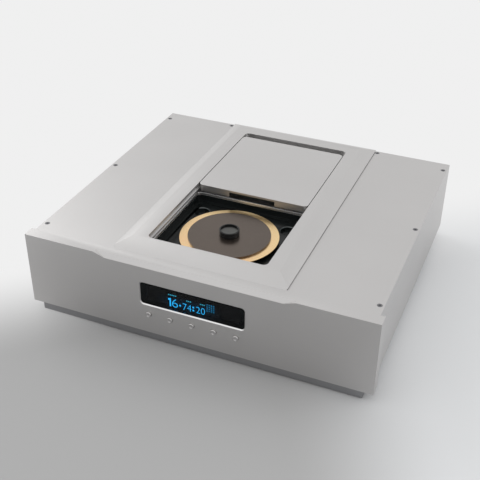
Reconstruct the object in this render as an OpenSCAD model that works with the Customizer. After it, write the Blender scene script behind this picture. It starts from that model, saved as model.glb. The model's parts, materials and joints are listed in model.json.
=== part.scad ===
// Top-loading disc transport: a flat silver case with a raised, bevelled centre,
// a lid that slides back over the disc well, and the playing mechanism below it.
// Lengths are millimetres and angles degrees. The origin is on the floor under the
// middle of the whole object. +Z is up, -Y is the front and +X the front's right.

/* [Case] */
// Width of the case behind its front panel
body_w = 419; // [400:1:470]
// How far the front panel reaches past each side of the case
front_over = 5.5; // [2:0.5:8]
// Depth of the case, front face to back face
body_d = 375.5; // [360:0.5:440]
// Height of the front panel
body_h = 95.5; // [92:0.5:130]
// Thickness of the front panel
front_t = 15; // [12:0.5:16]
// Thickness of the rear panel
rear_t = 3; // [2:0.5:5]
// Thickness of each side panel
side_t = 14; // [10:0.5:18]
// Thickness of the top cover
cover_t = 3; // [2.5:0.5:5]
// Thickness of the base plate, which shows as a plinth
base_t = 10.5; // [8:0.5:14]
// How far the plinth is set in at each side
plinth_side = 6.5; // [3:0.5:12]
// How far the plinth is set back from the front face
plinth_front = 2; // [1:0.5:6]
// How far the plinth is set in from the back face
plinth_rear = 4; // [2:0.5:6]
// Height of the rubber feet
foot_h = 1.5; // [1:0.5:6]
// Diameter of the rubber feet
foot_d = 44; // [30:1:60]
// Distance of the feet from the case's sides and ends
foot_inset = 44; // [36:1:60]
// Side of the square corner posts
post_w = 14; // [12:0.5:18]

/* [Raised centre] */
// How far the centre stands above the top cover
centre_rise = 8.8; // [6:0.2:10]
// Width of the centre at its foot
centre_w = 213; // [205:1:220]
// Width of its side bevels
side_bevel = 15.4; // [10:0.2:17]
// Upright edge at the foot of the side bevels
bevel_land = 1.5; // [1:0.25:2.5]
// Height of the open joint under that edge
joint_h = 0.7; // [0.3:0.1:0.9]
// Depth of that joint
joint_in = 0.8; // [0.4:0.1:1.5]
// Distance of its foot behind the front face
centre_front = 17.4; // [16.5:0.1:19]
// Depth of its front bevel
front_bevel = 19; // [12:0.5:20]
// Depth of its rear bevel
rear_bevel = 17.6; // [8:0.2:22]
// Chamfer along the middle of the front panel's top edge
edge_chamfer = 5; // [2:0.5:7]
// Half length of that chamfer at full depth
chamfer_half = 108; // [90:1:130]
// Length over which the chamfer runs out at each end
chamfer_runout = 15; // [6:1:30]

/* [Lid bay] */
// Width of the bay that the lid slides in
bay_w = 148; // [147:0.5:150]
// Distance of the bay behind the front face
bay_front = 40; // [40:0.5:41]
// Distance of the bay's end from the back face
bay_end = 35.5; // [30:0.5:40]
// Depth of the bay below the raised centre
bay_depth = 12; // [11.5:0.25:14]
// Corner radius of the bay and of the lid
bay_r = 6; // [2:0.5:10]
// Thickness of the bay's walls
skirt_t = 4; // [3.5:0.5:5]
// Thickness of the bay's floor
floor_t = 3; // [2.5:0.5:5]
// How far each guide rail stands out from the bay's wall
rail_w = 2; // [1.6:0.1:2.4]
// Height of each guide rail
rail_h = 1.4; // [1:0.1:1.8]
// Depth of the rails' top below the raised centre
rail_drop = 5.5; // [5.3:0.1:6]

/* [Lid] */
// Height of the lid's front
lid_h = 9.5; // [9:0.25:10]
// Thickness of the lid's top
lid_skin = 4; // [2:0.25:5]
// Thickness of the lid's sides and ends
lid_wall = 4; // [3:0.25:6]
// Gap beside the lid
lid_gap = 0.9; // [0.4:0.05:1]
// Gap between the closed lid and the end of the bay
lid_end_gap = 1; // [0.9:0.1:2]
// Gap between the open lid and the end of the bay
lid_rear_gap = 11.5; // [6:0.5:14]
// How far the lid stands open
lid_open = 136.5; // [120:0.5:137]
// Width of the finger pull in the lid's front
pull_w = 61; // [40:1:90]
// Height of the finger pull
pull_h = 6.5; // [4:0.25:6.5]
// Length of each slide pad in the lid's sides
pad_len = 20; // [8:1:40]
// Distance of the slide pads from the lid's ends
pad_inset = 12; // [7:1:24]
// Depth of the slide pads in the lid's sides
pad_in = 3; // [2:0.1:3.2]
// Thickness of the slide pads above and below their groove
pad_lip = 1; // [0.6:0.1:1.2]
// Diameter of the lid's rubber stops
bumper_d = 3; // [2:0.5:6]

/* [Disc well] */
// Width of the well
well_w = 146; // [128:0.5:146]
// Length of the well
well_len = 132; // [130:0.5:134]
// Corner radius of the well
well_r = 6; // [4:0.5:20]
// How far the well's middle lies behind the spindle
well_offset = 3.5; // [2.5:0.25:4.5]
// Thickness of the well's walls
well_wall = 3; // [2:0.25:4]
// Thickness of the well's floor
well_floor_t = 2.5; // [2:0.25:4]
// Width of the step round the well's floor
well_step = 5; // [2:0.5:8]
// Height of that step
well_step_h = 2; // [1:0.25:2]
// Width of the bright rim round the well
rim_w = 0.9; // [0.5:0.1:0.9]
// Height of the bright rim
rim_h = 0.8; // [0.4:0.1:1.2]
// Diameter of the round pocket in each rear corner of the well
pocket_d = 19; // [12:0.5:19]
// Depth of those pockets below the well's floor
pocket_deep = 4.4; // [2:0.2:5]

/* [Disc and clamp] */
// Distance of the spindle behind the front face
spindle_y = 108; // [107:0.5:110]
// Depth of the disc's top below the raised centre
disc_drop = 19.5; // [17.5:0.5:21.5]
// Diameter of the disc
disc_d = 120; // [118:0.5:121]
// Thickness of the disc
disc_t = 1.2; // [1:0.1:1.5]
// Diameter of the disc's hole
disc_hole = 15; // [14:0.5:17]
// Diameter of the clamp plate
clamp_d = 100; // [60:0.5:110]
// Thickness of the clamp plate
clamp_t = 2; // [1:0.1:3]
// Diameter of the clamp's knob
knob_d = 24.5; // [18:0.5:36]
// Height of the clamp's knob
knob_h = 7.5; // [5.5:0.1:8]
// Wall of the dish in the knob's top
knob_rim = 1.8; // [1:0.1:3]
// Depth of the dish in the knob's top
knob_dish = 3; // [2:0.1:3.5]
// Thickness of the metal disc set in the dish
insert_t = 0.8; // [0.4:0.1:1.2]

/* [Mechanism] */
// Diameter of the turntable hub
hub_d = 32; // [26:1:34]
// Thickness of the turntable hub's flange
hub_flange_t = 2; // [1.5:0.1:2.5]
// Diameter of the spindle
shaft_d = 2.5; // [2:0.1:4]
// Diameter of the spindle motor
motor_d = 28; // [20:1:30]
// Height of the spindle motor
motor_h = 12.5; // [12:0.25:16]
// Thickness of the mechanism's deck plate
deck_t = 2; // [1.5:0.25:3]
// Diameter of the pickup's guide rods
rod_d = 3; // [2.5:0.1:4]
// Distance of each guide rod from the middle
rod_x = 21; // [20.5:0.25:22]
// Radius at which the pickup's lens rests
lens_rest = 25; // [24.5:0.5:27]
// Outward travel of the pickup from rest
sled_out = 33; // [28:0.5:33]
// Inward travel of the pickup from rest
sled_in = 1; // [0:0.25:1]
// Diameter of the pickup's lens
lens_d = 5; // [4:0.25:6]
// Tooth module of the gears
gear_module = 0.8; // [0.8:0.05:0.85]
// Teeth of the gear that drives the rack
rack_gear_teeth = 14; // [14:2:14]
// Teeth of the large gear
large_gear_teeth = 40; // [36:1:42]
// Teeth of the motor's pinion
pinion_teeth = 12; // [12:1:14]
// Thickness of the large gear and the pinion
gear_t = 2.3; // [1.5:0.1:2.5]
// Side play between meshed teeth
backlash = 0.12; // [0.1:0.01:0.2]
// Diameter of the pickup's motor
sled_motor_d = 20; // [14:1:24]
// Height of the pickup's motor
sled_motor_h = 16; // [10:1:24]
// Diameter of the deck's rubber dampers
damper_d = 12; // [10:0.5:14]
// Height of the deck's rubber dampers
damper_h = 6; // [4:0.5:10]

/* [Display] */
// Width of the display window
disp_w = 129; // [110:0.5:150]
// Height of the display window
disp_h = 29; // [26:0.5:34]
// Corner radius of the display window
disp_r = 4; // [1:0.25:8]
// Height of the window's middle above the front panel's foot
disp_up = 54.5; // [50:0.5:64]
// Thickness of the display window
window_t = 4; // [2:0.25:5]
// Setback of the window behind the front face
window_setback = 1.2; // [0:0.1:1.5]
// Chamfer round the display window's opening
disp_chamfer = 1.2; // [0.4:0.1:2]
// Width of the display's glass
glass_w = 116; // [90:1:120]
// Height of the display's glass
glass_h = 22; // [16:1:24]
// Thickness of the circuit boards
board_t = 1.6; // [1:0.1:2.4]
// Gap between the front panel and the display's board
disp_board_gap = 2; // [1:0.25:4]

/* [Buttons] */
// Diameter of the push buttons
button_d = 7; // [5:0.25:9]
// Spacing of the push buttons
button_pitch = 27.3; // [20:0.1:30]
// Height of the push buttons above the front panel's foot
button_up = 26.5; // [22:0.5:28]
// How far the push buttons stand out
button_proud = 2; // [1.5:0.1:4]
// Travel of the push buttons
button_travel = 1.2; // [0.5:0.1:1.4]

/* [Power and boards] */
// Diameter of the power transformer
core_d = 100; // [80:1:104]
// Diameter of the transformer's central hole
core_hole = 34; // [20:1:44]
// Height of the power transformer
core_h = 46; // [30:1:50]
// Diameter of the reservoir capacitors
cap_d = 25; // [16:1:30]
// Height of the reservoir capacitors
cap_h = 40; // [20:1:50]
// Height of the boards above the base plate
board_up = 10; // [6:0.5:14]

/* [Rear sockets] */
// Height of the sockets' middle above the front panel's foot
socket_up = 34; // [28:1:44]
// Gap between the mains inlet and the corner post
inlet_gap = 7.5; // [2:0.5:14]
// Gap between the balanced socket and the corner post
balanced_gap = 28.5; // [4:0.5:40]
// Spacing of the balanced and the coaxial socket
socket_pitch = 50; // [36:1:70]
// Diameter of the coaxial socket's barrel
coax_d = 8.3; // [8:0.1:10]
// How far that barrel stands out behind the case
rear_proud = 9; // [8:0.5:12]
// Diameter of the balanced socket's mouth
balanced_d = 18.8; // [18:0.1:20]
// Angle at which the power rocker rests
rocker_tilt = 8; // [4:1:10]

/* [Fits] */
// Play between parts that only slip together
slip = 0.15; // [0.1:0.05:0.25]
// Radial running clearance of shafts and pins
run_gap = 0.05; // [0.03:0.01:0.08]
// Radial clearance of pins and rods that are held fast
press_gap = 0.02; // [0.02:0.01:0.03]
// Clearance between parts that move past each other
move_gap = 0.3; // [0.25:0.05:0.4]

/* [Hidden] */
$fn = 64;
eps = 0.01;
past = 1;

// Levels above the floor
z_body = foot_h + base_t;
z_top = z_body + body_h;
z_cover = z_top - cover_t;
z_centre = z_top + centre_rise;
z_bay = z_centre - bay_depth;
z_bay_under = z_bay - floor_t;
disc_top = z_centre - disc_drop;
disc_under = disc_top - disc_t;
knob_base = disc_top + clamp_t;
well_gap = 2.3;
well_step_z = disc_under - well_gap;
well_floor_z = well_step_z - well_step_h;
well_under = well_floor_z - well_floor_t;
motor_drop = 1;
motor_top = well_under - motor_drop;
deck_clear = 0.5;
deck_top = motor_top - motor_h;
deck_under = deck_top - deck_t;

// Distances along the case, measured back from the front face
front_y = button_proud - (button_proud + body_d + rear_proud) / 2;
rear_in = body_d - rear_t;
bay_rear = body_d - bay_end;
bay_len = bay_rear - bay_front;
well_mid = spindle_y + well_offset;
lid_front = bay_front + lid_end_gap + lid_open;
lid_rear = bay_rear - lid_rear_gap;
lid_len = lid_rear - lid_front;
lid_w = bay_w - 2 * lid_gap;
pocket_side = 15;
pocket_rear = 23;
pocket_wall = 2;
pocket_base = 1.5;
pocket_x = well_w / 2 - pocket_side;
pocket_y = well_mid + well_len / 2 - pocket_rear;
inner_x = body_w / 2 - side_t;
post_x = inner_x - post_w / 2;
post_front_y = front_t + post_w / 2;
post_rear_y = rear_in - post_w / 2;

// Fasteners
cap_screw = [5.8, 1.7, 3, 9];
case_screw = [7, 3, 4, 16];
rear_screw = [7, 2.2, 4, 12];
flange_screw = [5.5, 2, 3, 6];
small_screw = [3.8, 1.4, 2, 4.8];
deck_screw = [9, 2.5, 3, 16];
socket_depth = 1.1;
socket_share = 0.5;
cover_screw_side = 5.3;
cover_screw_front = 31.3;
cover_screw_rear = 19.3;
cover_screw_xs = [-1, 1] * (body_w / 2 - cover_screw_side);
cover_screw_ys = [cover_screw_front, (cover_screw_front + body_d - cover_screw_rear) / 2,
    body_d - cover_screw_rear];
rear_row_gap = 0.6;
rear_row_x = centre_w / 2 + rear_row_gap + cap_screw[0] / 2;
rear_row_in = 2;
rear_row_y = rear_in - rear_row_in;
rear_flange_over = 12;
rear_flange_w = 2 * (rear_row_x + rear_flange_over);
rear_flange_l = 12;
rear_flange_t = 3;
flange_screw_share = 0.65;
flange_screw_shares = [0.1, 0.5, 0.87];
flange_screw_x = centre_w / 2 - side_bevel * flange_screw_share;
flange_screw_ys = [for (k = flange_screw_shares) bay_front + k * bay_len];
skirt_screw_x = bay_w / 2 + skirt_t / 2;
skirt_screw_shares = [0.53, 0.74, 0.95];
skirt_screw_ys = [for (k = skirt_screw_shares) bay_front + k * bay_len];
skirt_front_x = 30;
ear = 7;
ear_x = 56;
ear_t = 3;
post_screw_rise = 15;
side_screw_rise = 27;

// Lid guides
rail_top = z_centre - rail_drop;
rail_under = rail_top - rail_h;
pad_play = 0.1;
groove_in = lid_w / 2 - (rail_w - lid_gap) - move_gap;
pad_top = rail_top + pad_play + pad_lip;
pad_under = rail_under - pad_play - pad_lip;
lid_under = z_centre - lid_h;
bumper_t = lid_end_gap - move_gap;
bumper_z = lid_under + bumper_d / 2 + move_gap;

// Turntable
boss_play = 0.2;
boss_low = 0.2;
hub_boss_d = disc_hole - 2 * boss_play;
hub_boss_h = disc_t - boss_low;
hub_lift = 0.7;
hub_stem_d = 10;
hub_clear = 2;
knob_spigot_d = 8;
knob_spigot_short = 0.1;
knob_groove = 0.5;
knob_groove_z = knob_h * 0.42;

// Pickup and its drive
sled_clear = 0.7;
well_clear = 0.6;
gear_z = deck_top + deck_clear;
gear_top = gear_z + gear_t;
sled_under = gear_top + sled_clear;
sled_top = well_under - well_clear;
sled_half = 16;
sled_fore = 5;
sled_aft = 20;
rod_z = (sled_under + sled_top) / 2;
ear_wall = 5;
ear_out = rod_x + ear_wall;
fork_at = [2, 14];
fork_play = 0.2;
rod_tab_half = 4;
tab_t = 5;
tab_over = 2;
tab_fore = 10;
tab_aft = 3;
tab_fore_y = spindle_y + tab_fore;
tab_aft_y = spindle_y + lens_rest + sled_out + sled_aft + tab_aft;
lens_y = spindle_y + lens_rest;
lens_box = [18, 8];
lens_gap = 2;
lens_h = 1.2;
lens_edge = 0.7;
lens_sink = 0.5;
lens_top = disc_under - lens_gap;
slot_side = 2;
slot_end = 1;
slot_half = lens_box[0] / 2 + slot_side;
addendum = 0.78 * gear_module;
dedendum = 1.2 * gear_module;
pressure = 20;
rack_pitch = PI * gear_module;
rack_depth = 2.6;
rack_lift = 0.5;
rack_line = ear_out + rack_depth;
rack_z = sled_under + rack_lift;
rack_h = 3.5;
rack_spare = 3;
rack_end = 1;
gear_r = gear_module * rack_gear_teeth / 2;
large_r = gear_module * large_gear_teeth / 2;
pinion_r = gear_module * pinion_teeth / 2;
gear_x = rack_line + gear_r;
gear_behind = 17;
gear_y = lens_y + gear_behind;
rack_fore = gear_y - sled_out - rack_spare;
rack_aft = gear_y + sled_in + rack_spare;
gear_over = 0.5;
small_gear_top = rack_z + rack_h + gear_over;
gear_pin_d = 2.5;
clip_z = small_gear_top + move_gap;
clip_t = 0.8;
clip_w = 1;
pinion_angle = -60;
pinion_x = gear_x + (large_r + pinion_r) * cos(pinion_angle);
pinion_y = gear_y + (large_r + pinion_r) * sin(pinion_angle);
pinion_shaft_d = 2;
pinion_hole_gap = 1;
pinion_tail = 1;
pinion_tip = 0.5;
deck_left = -40;
deck_right = 60;
deck_ahead = 32;
deck_behind = 8;
deck_fore = spindle_y - deck_ahead;
deck_aft = tab_aft_y + tab_t + deck_behind;
damper_edge = 1;
deck_screw_inset = damper_d / 2 + damper_edge;
deck_screws_at = [for (x = [deck_left + deck_screw_inset, deck_right - deck_screw_inset])
    for (y = [deck_fore + deck_screw_inset, deck_aft - deck_screw_inset]) [x, y]];
deck_post_d = 10;
deck_post_top = deck_under - damper_h;

// Front boards
disp_z = z_body + disp_up;
button_z = z_body + button_up;
button_xs = [for (i = [-2:2]) i * button_pitch];
button_hole = button_d + 2 * slip;
button_edge = 0.6;
button_flange_w = 1.3;
button_flange_d = button_d + 2 * button_flange_w;
button_flange_t = 1.2;
button_stem_r = 1.5;
button_stem_l = 2.2;
switch_size = 6;
switch_h = 3.5;
switch_gap = 0.1;
button_stem_y = front_t + move_gap + button_flange_t + button_stem_l;
button_board_y = button_stem_y + button_travel + switch_gap + switch_h;
button_board_end = 7;
button_board_half = 2 * button_pitch + button_board_end;
button_board_h = 16;
window_back = window_setback + window_t;
disp_board_y = front_t + disp_board_gap;
glass_gap = 0.3;
disp_board_side = 20;
disp_board_over = 6;
disp_board_half = disp_w / 2 + disp_board_side;
disp_board_h = disp_h + 2 * disp_board_over;
spacer_d = 5;
spacer_side = 6;
spacer_edge = 4;
ribbon_w = 14;
ribbon_t = 0.6;
ribbon_bend = 8;
ribbon_lead = 6;
plug_h = 5;
plug_wall = 1;
plug_w = ribbon_w + 2 * plug_wall;
plug_in = 3;
disp_plug_end = 1;
ribbon_x = disp_board_half - disp_plug_end - plug_w;

// Inner boards and supply
board_z = z_body + board_up;
board_top = board_z + board_t;
standoff_d = 7;
standoff_in = 6;
board_side_gap = 10;
main_board_y = 100;
main_board_rear = 55;
plug_edge = 2;
main_board_at = [ribbon_x - plug_edge, main_board_y];
main_board = [inner_x - board_side_gap - main_board_at[0], body_d - main_board_rear - main_board_y];
core_pad_t = 2;
core_washer_d = 64;
core_washer_t = 2;
core_edge = 8;
core_bolt_d = 6;
core_head_d = 10;
core_head_h = 4;
core_z = z_body + core_pad_t;
core_side_gap = 24;
core_rear_gap = 10;

// Rear sockets
socket_z = z_body + socket_up;
inlet_flange = [68, 32];
inlet_body = [62, 27];
inlet_depth = 30;
socket_flange_t = 2.5;
inlet_mouth = [24, 16.5, 17];
inlet_mouth_x = -14;
rocker_x = 19;
rocker_hole = [13, 21.5, 15];
rocker_w = 12;
rocker_half = 9.4;
rocker_pin_d = 3;
rocker_pin_reach = 1.5;
rocker_pin_gap = 0.3;
rocker_root = [6, 3.5];
rocker_face = [1.5, 6.2];
rocker_dish = 1.2;
rocker_pivot = 4;
rocker_pivot_y = body_d - rocker_pivot;
blade = [2, 6.3];
blade_pitch = 7;
blade_rise = 2.5;
pin_short = 5;
pin_d = 2.4;
pin_ring_r = 4.1;
balanced_flange = [26, 31];
balanced_depth = 18;
balanced_mouth_l = 16;
balanced_wall = 1.6;
balanced_r = 3;
coax_washer_d = 15;
coax_washer_t = 1.5;
coax_body_d = 10;
coax_body_l = 14;
coax_bore = 3.2;
inlet_x = inner_x - post_w - inlet_gap - inlet_flange[0] / 2;
balanced_x = inner_x - post_w - balanced_gap - balanced_flange[0] / 2;
coax_x = balanced_x - socket_pitch;

// Supply, set out forward from the mains inlet
core_at = [-(inner_x - core_side_gap - core_d / 2), body_d - inlet_depth - core_rear_gap - core_d / 2];
power_board_y = 60;
power_board_gap = 35;
power_board_w = 105;
power_board = [power_board_w, core_at[1] - core_d / 2 - power_board_gap - power_board_y];
power_board_at = [board_side_gap - inner_x, power_board_y];
power_middle = power_board_at + power_board / 2;
cap_gap = 8;
cap_ahead = 20;
sink_w = 70;
sink_l = 14;
sink_h = 34;
sink_web = 3;
sink_fin = 2;
sink_last = 9;
sink_rear = 22;

// Main board's chips: place as shares of the board, then width, length and height
chips = [[0.25, 0.18, 14, 14, 1.5], [0.58, 0.2, 20, 14, 2], [0.28, 0.41, 22, 22, 1.6],
    [0.66, 0.42, 12, 10, 1.5], [0.33, 0.68, 32, 24, 12], [0.72, 0.72, 10, 18, 2]];

// Shared shapes

// Places a piece whose y is measured back from the front face
module from_front() { translate([0, front_y, 0]) children(); }

module block(x0, x1, y0, y1, z0, z1) {
    translate([x0, y0, z0]) cube([x1 - x0, y1 - y0, z1 - z0]);
}

module mid_block(w, y0, y1, z0, z1) { block(-w / 2, w / 2, y0, y1, z0, z1); }

module post(at, z0, z1, d) { translate([at[0], at[1], z0]) cylinder(d = d, h = z1 - z0); }

module rod_along_y(x, y0, y1, z, d) {
    translate([x, y0, z]) rotate([-90, 0, 0]) cylinder(d = d, h = y1 - y0);
}

module rod_along_x(x0, x1, y, z, d) {
    translate([x0, y, z]) rotate([0, 90, 0]) cylinder(d = d, h = x1 - x0);
}

module round_rect(w, l, r) {
    square([w - 2 * r, l], center = true);
    square([w, l - 2 * r], center = true);
    for (x = [-1, 1], y = [-1, 1]) translate([x * (w / 2 - r), y * (l / 2 - r)]) circle(r);
}

// Upright-edged plate centred at y, with round corners
module round_plate(w, l, r, y, z0, z1) {
    translate([0, y, z0]) linear_extrude(z1 - z0) round_rect(w, l, r);
}

// Plate in the plane of the front panel, centred at x and z
module round_panel(w, h, r, x, z, y0, y1) {
    translate([x, y0, z]) rotate([-90, 0, 0]) linear_extrude(y1 - y0) round_rect(w, h, r);
}

// Screw with its head's top at the origin and its shank pointing down.
// size holds the head's diameter and height, then the shank's diameter and length.
module screw(size) {
    difference() {
        union() {
            translate([0, 0, -size[1]]) cylinder(d = size[0], h = size[1]);
            translate([0, 0, -size[1] - size[3]]) cylinder(d = size[2], h = size[3] + eps);
        }
        translate([0, 0, -socket_depth])
            cylinder(d = size[0] * socket_share, h = socket_depth + past, $fn = 6);
    }
}

// Hole for a screw: sunk for its head where sunk is true
module screw_hole(size, sunk) {
    translate([0, 0, -size[1] - size[3] - slip])
        cylinder(d = size[2] + 2 * slip, h = size[1] + size[3] + past);
    if (sunk) translate([0, 0, -size[1]]) cylinder(d = size[0] + 2 * slip, h = size[1] + past);
}

// Involute gear outline: flank angle at a radius, then the points of one tooth
function involute(a) = tan(a) * 180 / PI - a;
function flank(r, rb, half) = half + involute(pressure) - involute(acos(min(1, rb / r)));
function polar(r, a) = [r * cos(a), r * sin(a)];
function gear_points(teeth, turn) =
    let (rp = gear_module * teeth / 2, rb = rp * cos(pressure), rf = rp - dedendum, ra = rp + addendum,
         half = 90 / teeth - backlash / 4 / rp * 180 / PI, steps = 4)
    [for (i = [0:teeth - 1]) let (mid = turn + i * 360 / teeth)
        each concat(
            [polar(rf, mid - flank(rb, rb, half))],
            [for (s = [0:steps]) let (r = rb + (ra - rb) * s / steps) polar(r, mid - flank(r, rb, half))],
            [for (s = [0:steps]) let (r = ra - (ra - rb) * s / steps) polar(r, mid + flank(r, rb, half))],
            [polar(rf, mid + flank(rb, rb, half))])];

module gear(teeth, turn, z0, z1) {
    translate([0, 0, z0]) linear_extrude(z1 - z0) polygon(gear_points(teeth, turn));
}

// Flat strip of thickness t along points, seen from the side
function strip_normal(p, i) =
    let (a = p[max(0, i - 1)], b = p[min(len(p) - 1, i + 1)], d = b - a) [-d[1], d[0]] / norm(d);
function strip_points(p, t) = concat(
    [for (i = [0:len(p) - 1]) p[i] + strip_normal(p, i) * t / 2],
    [for (i = [len(p) - 1:-1:0]) p[i] - strip_normal(p, i) * t / 2]);
function bend(mid, r, a0, a1, n) = [for (i = [0:n]) mid + polar(r, a0 + (a1 - a0) * i / n)];

// Case

module base_plate() color("dimgray") from_front() difference() {
    mid_block(body_w - 2 * plinth_side, plinth_front, body_d - plinth_rear, foot_h, z_body);
    base_screw_places() screw_hole(case_screw, true);
}

module base_screw_places() {
    for (x = [-post_x, post_x], y = [post_front_y, post_rear_y])
        translate([x, y, foot_h]) rotate([180, 0, 0]) children();
}

module foot_pads() color("black") from_front() {
    for (x = [-1, 1], y = [foot_inset, body_d - foot_inset])
        post([x * (body_w / 2 - foot_inset), y], 0, foot_h, foot_d);
}

module front_panel() color("lightgray") from_front() difference() {
    mid_block(body_w + 2 * front_over, 0, front_t, z_body, z_top);
    round_panel(disp_w, disp_h, disp_r, 0, disp_z, -past, front_t + past);
    hull() {
        round_panel(disp_w + 2 * disp_chamfer, disp_h + 2 * disp_chamfer, disp_r + disp_chamfer, 0,
            disp_z, -past, 0);
        round_panel(disp_w, disp_h, disp_r, 0, disp_z, -past, disp_chamfer);
    }
    for (x = button_xs) rod_along_y(x, -past, front_t + past, button_z, button_hole);
    front_edge_chamfer();
    front_screw_places() screw_hole(case_screw, true);
}

// Wedge cut from the middle of the front panel's top edge, with sloping ends
module front_edge_chamfer() {
    reach = chamfer_half + chamfer_runout;
    intersection() {
        translate([-reach - past, 0, 0]) rotate([90, 0, 90]) linear_extrude(2 * (reach + past))
            polygon([[-past, z_top - edge_chamfer - past], [edge_chamfer + past, z_top + past],
                [-past, z_top + past]]);
        translate([0, edge_chamfer + past, 0]) rotate([90, 0, 0]) linear_extrude(edge_chamfer + 2 * past)
            polygon([[-reach, z_top], [-chamfer_half, z_top - edge_chamfer],
                [chamfer_half, z_top - edge_chamfer], [reach, z_top], [reach, z_top + past],
                [-reach, z_top + past]]);
    }
}

module front_screw_places() {
    for (x = [-post_x, post_x], z = [z_body + post_screw_rise, z_cover - post_screw_rise])
        translate([x, front_t + post_w, z]) rotate([-90, 0, 0]) children();
}

module rear_screw_places() {
    for (x = [-post_x, post_x], z = [z_body + post_screw_rise, z_cover - post_screw_rise])
        translate([x, body_d + rear_screw[1], z]) rotate([-90, 0, 0]) children();
}

module side_screw_places() {
    for (s = [-1, 1], y = [post_front_y, post_rear_y],
        z = [z_body + side_screw_rise, z_cover - side_screw_rise])
        translate([s * (inner_x - post_w), y, z]) rotate([0, -s * 90, 0]) children();
}

module rear_panel() color("lightgray") from_front() difference() {
    union() {
        mid_block(body_w, rear_in, body_d, z_body, z_cover);
        mid_block(rear_flange_w, rear_in - rear_flange_l, rear_in + eps, z_cover - rear_flange_t, z_cover);
    }
    rear_screw_places() screw_hole(rear_screw, false);
    rear_row_places() screw_hole(cap_screw, false);
    block(-inlet_x - inlet_body[0] / 2 - slip, -inlet_x + inlet_body[0] / 2 + slip, rear_in - past,
        body_d + past,
        socket_z - inlet_body[1] / 2 - slip, socket_z + inlet_body[1] / 2 + slip);
    rod_along_y(coax_x, rear_in - past, body_d + past, socket_z, coax_body_d + 2 * slip);
    rod_along_y(balanced_x, rear_in - past, body_d + past, socket_z,
        balanced_d + 2 * balanced_wall + 2 * slip);
}

// side is -1 on the left and 1 on the right
module side_panel(side) color("lightgray") from_front() difference() {
    block(min(side * inner_x, side * body_w / 2), max(side * inner_x, side * body_w / 2),
        front_t, rear_in, z_body, z_cover);
    cover_screw_places() screw_hole(cap_screw, false);
    side_screw_places() screw_hole(case_screw, false);
}

module left_side_panel() { side_panel(-1); }

module right_side_panel() { side_panel(1); }

module cover_screw_places() {
    for (x = cover_screw_xs, y = cover_screw_ys) translate([x, y, z_top]) children();
}

module rear_row_places() {
    for (x = [-rear_row_x, rear_row_x]) translate([x, rear_row_y, z_top]) children();
}

module top_cover() color("gainsboro") from_front() difference() {
    mid_block(body_w, front_t, body_d, z_cover, z_top);
    mid_block(bay_w + 2 * (skirt_t + slip), bay_front - skirt_t - slip, bay_rear + skirt_t + slip,
        z_cover - past, z_top + past);
    cover_screw_places() screw_hole(cap_screw, true);
    rear_row_places() screw_hole(cap_screw, true);
    flange_screw_places() screw_hole(flange_screw, false);
}

module flange_screw_places() {
    for (x = [-1, 1], y = flange_screw_ys)
        translate([x * flange_screw_x, y, z_cover - flange_screw[1]]) rotate([180, 0, 0]) children();
}

function skirt_screws_at() = concat([[skirt_front_x, bay_front - skirt_t / 2]],
    [for (y = skirt_screw_ys) [skirt_screw_x, y]]);

module skirt_screw_places() {
    for (x = [-1, 1], p = skirt_screws_at())
        translate([x * p[0], p[1], z_bay_under - small_screw[1]]) rotate([180, 0, 0]) children();
}

module ear_screw_places() {
    for (x = [-1, 1], s = [-1, 1])
        translate([x * ear_x, ear_y(s), z_bay_under - ear_t - small_screw[1]]) rotate([180, 0, 0]) children();
}

function ear_y(s) = well_mid + s * (well_len / 2 + well_wall + ear / 2);

// Raised centre: bevelled block with the bay's walls hanging below it
module lid_surround() color("gainsboro") from_front() difference() {
    union() {
        intersection() {
            translate([0, body_d, 0]) rotate([90, 0, 0]) linear_extrude(body_d) polygon([
                [joint_in - centre_w / 2, z_top], [centre_w / 2 - joint_in, z_top],
                [centre_w / 2 - joint_in, z_top + joint_h], [centre_w / 2, z_top + joint_h],
                [centre_w / 2, z_top + bevel_land],
                [centre_w / 2 - side_bevel, z_centre], [side_bevel - centre_w / 2, z_centre],
                [-centre_w / 2, z_top + bevel_land], [-centre_w / 2, z_top + joint_h],
                [joint_in - centre_w / 2, z_top + joint_h]]);
            translate([-centre_w / 2, 0, 0]) rotate([90, 0, 90]) linear_extrude(centre_w) polygon([
                [centre_front, z_top], [body_d, z_top], [body_d, z_top + bevel_land],
                [body_d - rear_bevel, z_centre], [centre_front + front_bevel, z_centre]]);
        }
        mid_block(bay_w + 2 * skirt_t, bay_front - skirt_t, bay_rear + skirt_t, z_bay, z_top + eps);
    }
    round_plate(bay_w, bay_len, bay_r, bay_front + bay_len / 2, z_bay - past, z_centre + past);
    flange_screw_places() screw_hole(flange_screw, false);
    skirt_screw_places() screw_hole(small_screw, false);
}

module corner_posts() color("silver") from_front() difference() {
    for (x = [-post_x, post_x], y = [post_front_y, post_rear_y])
        block(x - post_w / 2, x + post_w / 2, y - post_w / 2, y + post_w / 2, z_body, z_cover);
    base_screw_places() screw_hole(case_screw, true);
    front_screw_places() screw_hole(case_screw, true);
    rear_screw_places() screw_hole(rear_screw, false);
    side_screw_places() screw_hole(case_screw, true);
}

module cover_screws() color("dimgray") from_front() {
    cover_screw_places() screw(cap_screw);
    rear_row_places() screw(cap_screw);
}

module surround_screws() color("dimgray") from_front() {
    flange_screw_places() screw(flange_screw);
    skirt_screw_places() screw(small_screw);
    ear_screw_places() screw(small_screw);
}

module post_screws() color("dimgray") from_front() {
    base_screw_places() screw(case_screw);
    front_screw_places() screw(case_screw);
    rear_screw_places() screw(rear_screw);
    side_screw_places() screw(case_screw);
}

// Lid and bay

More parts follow.
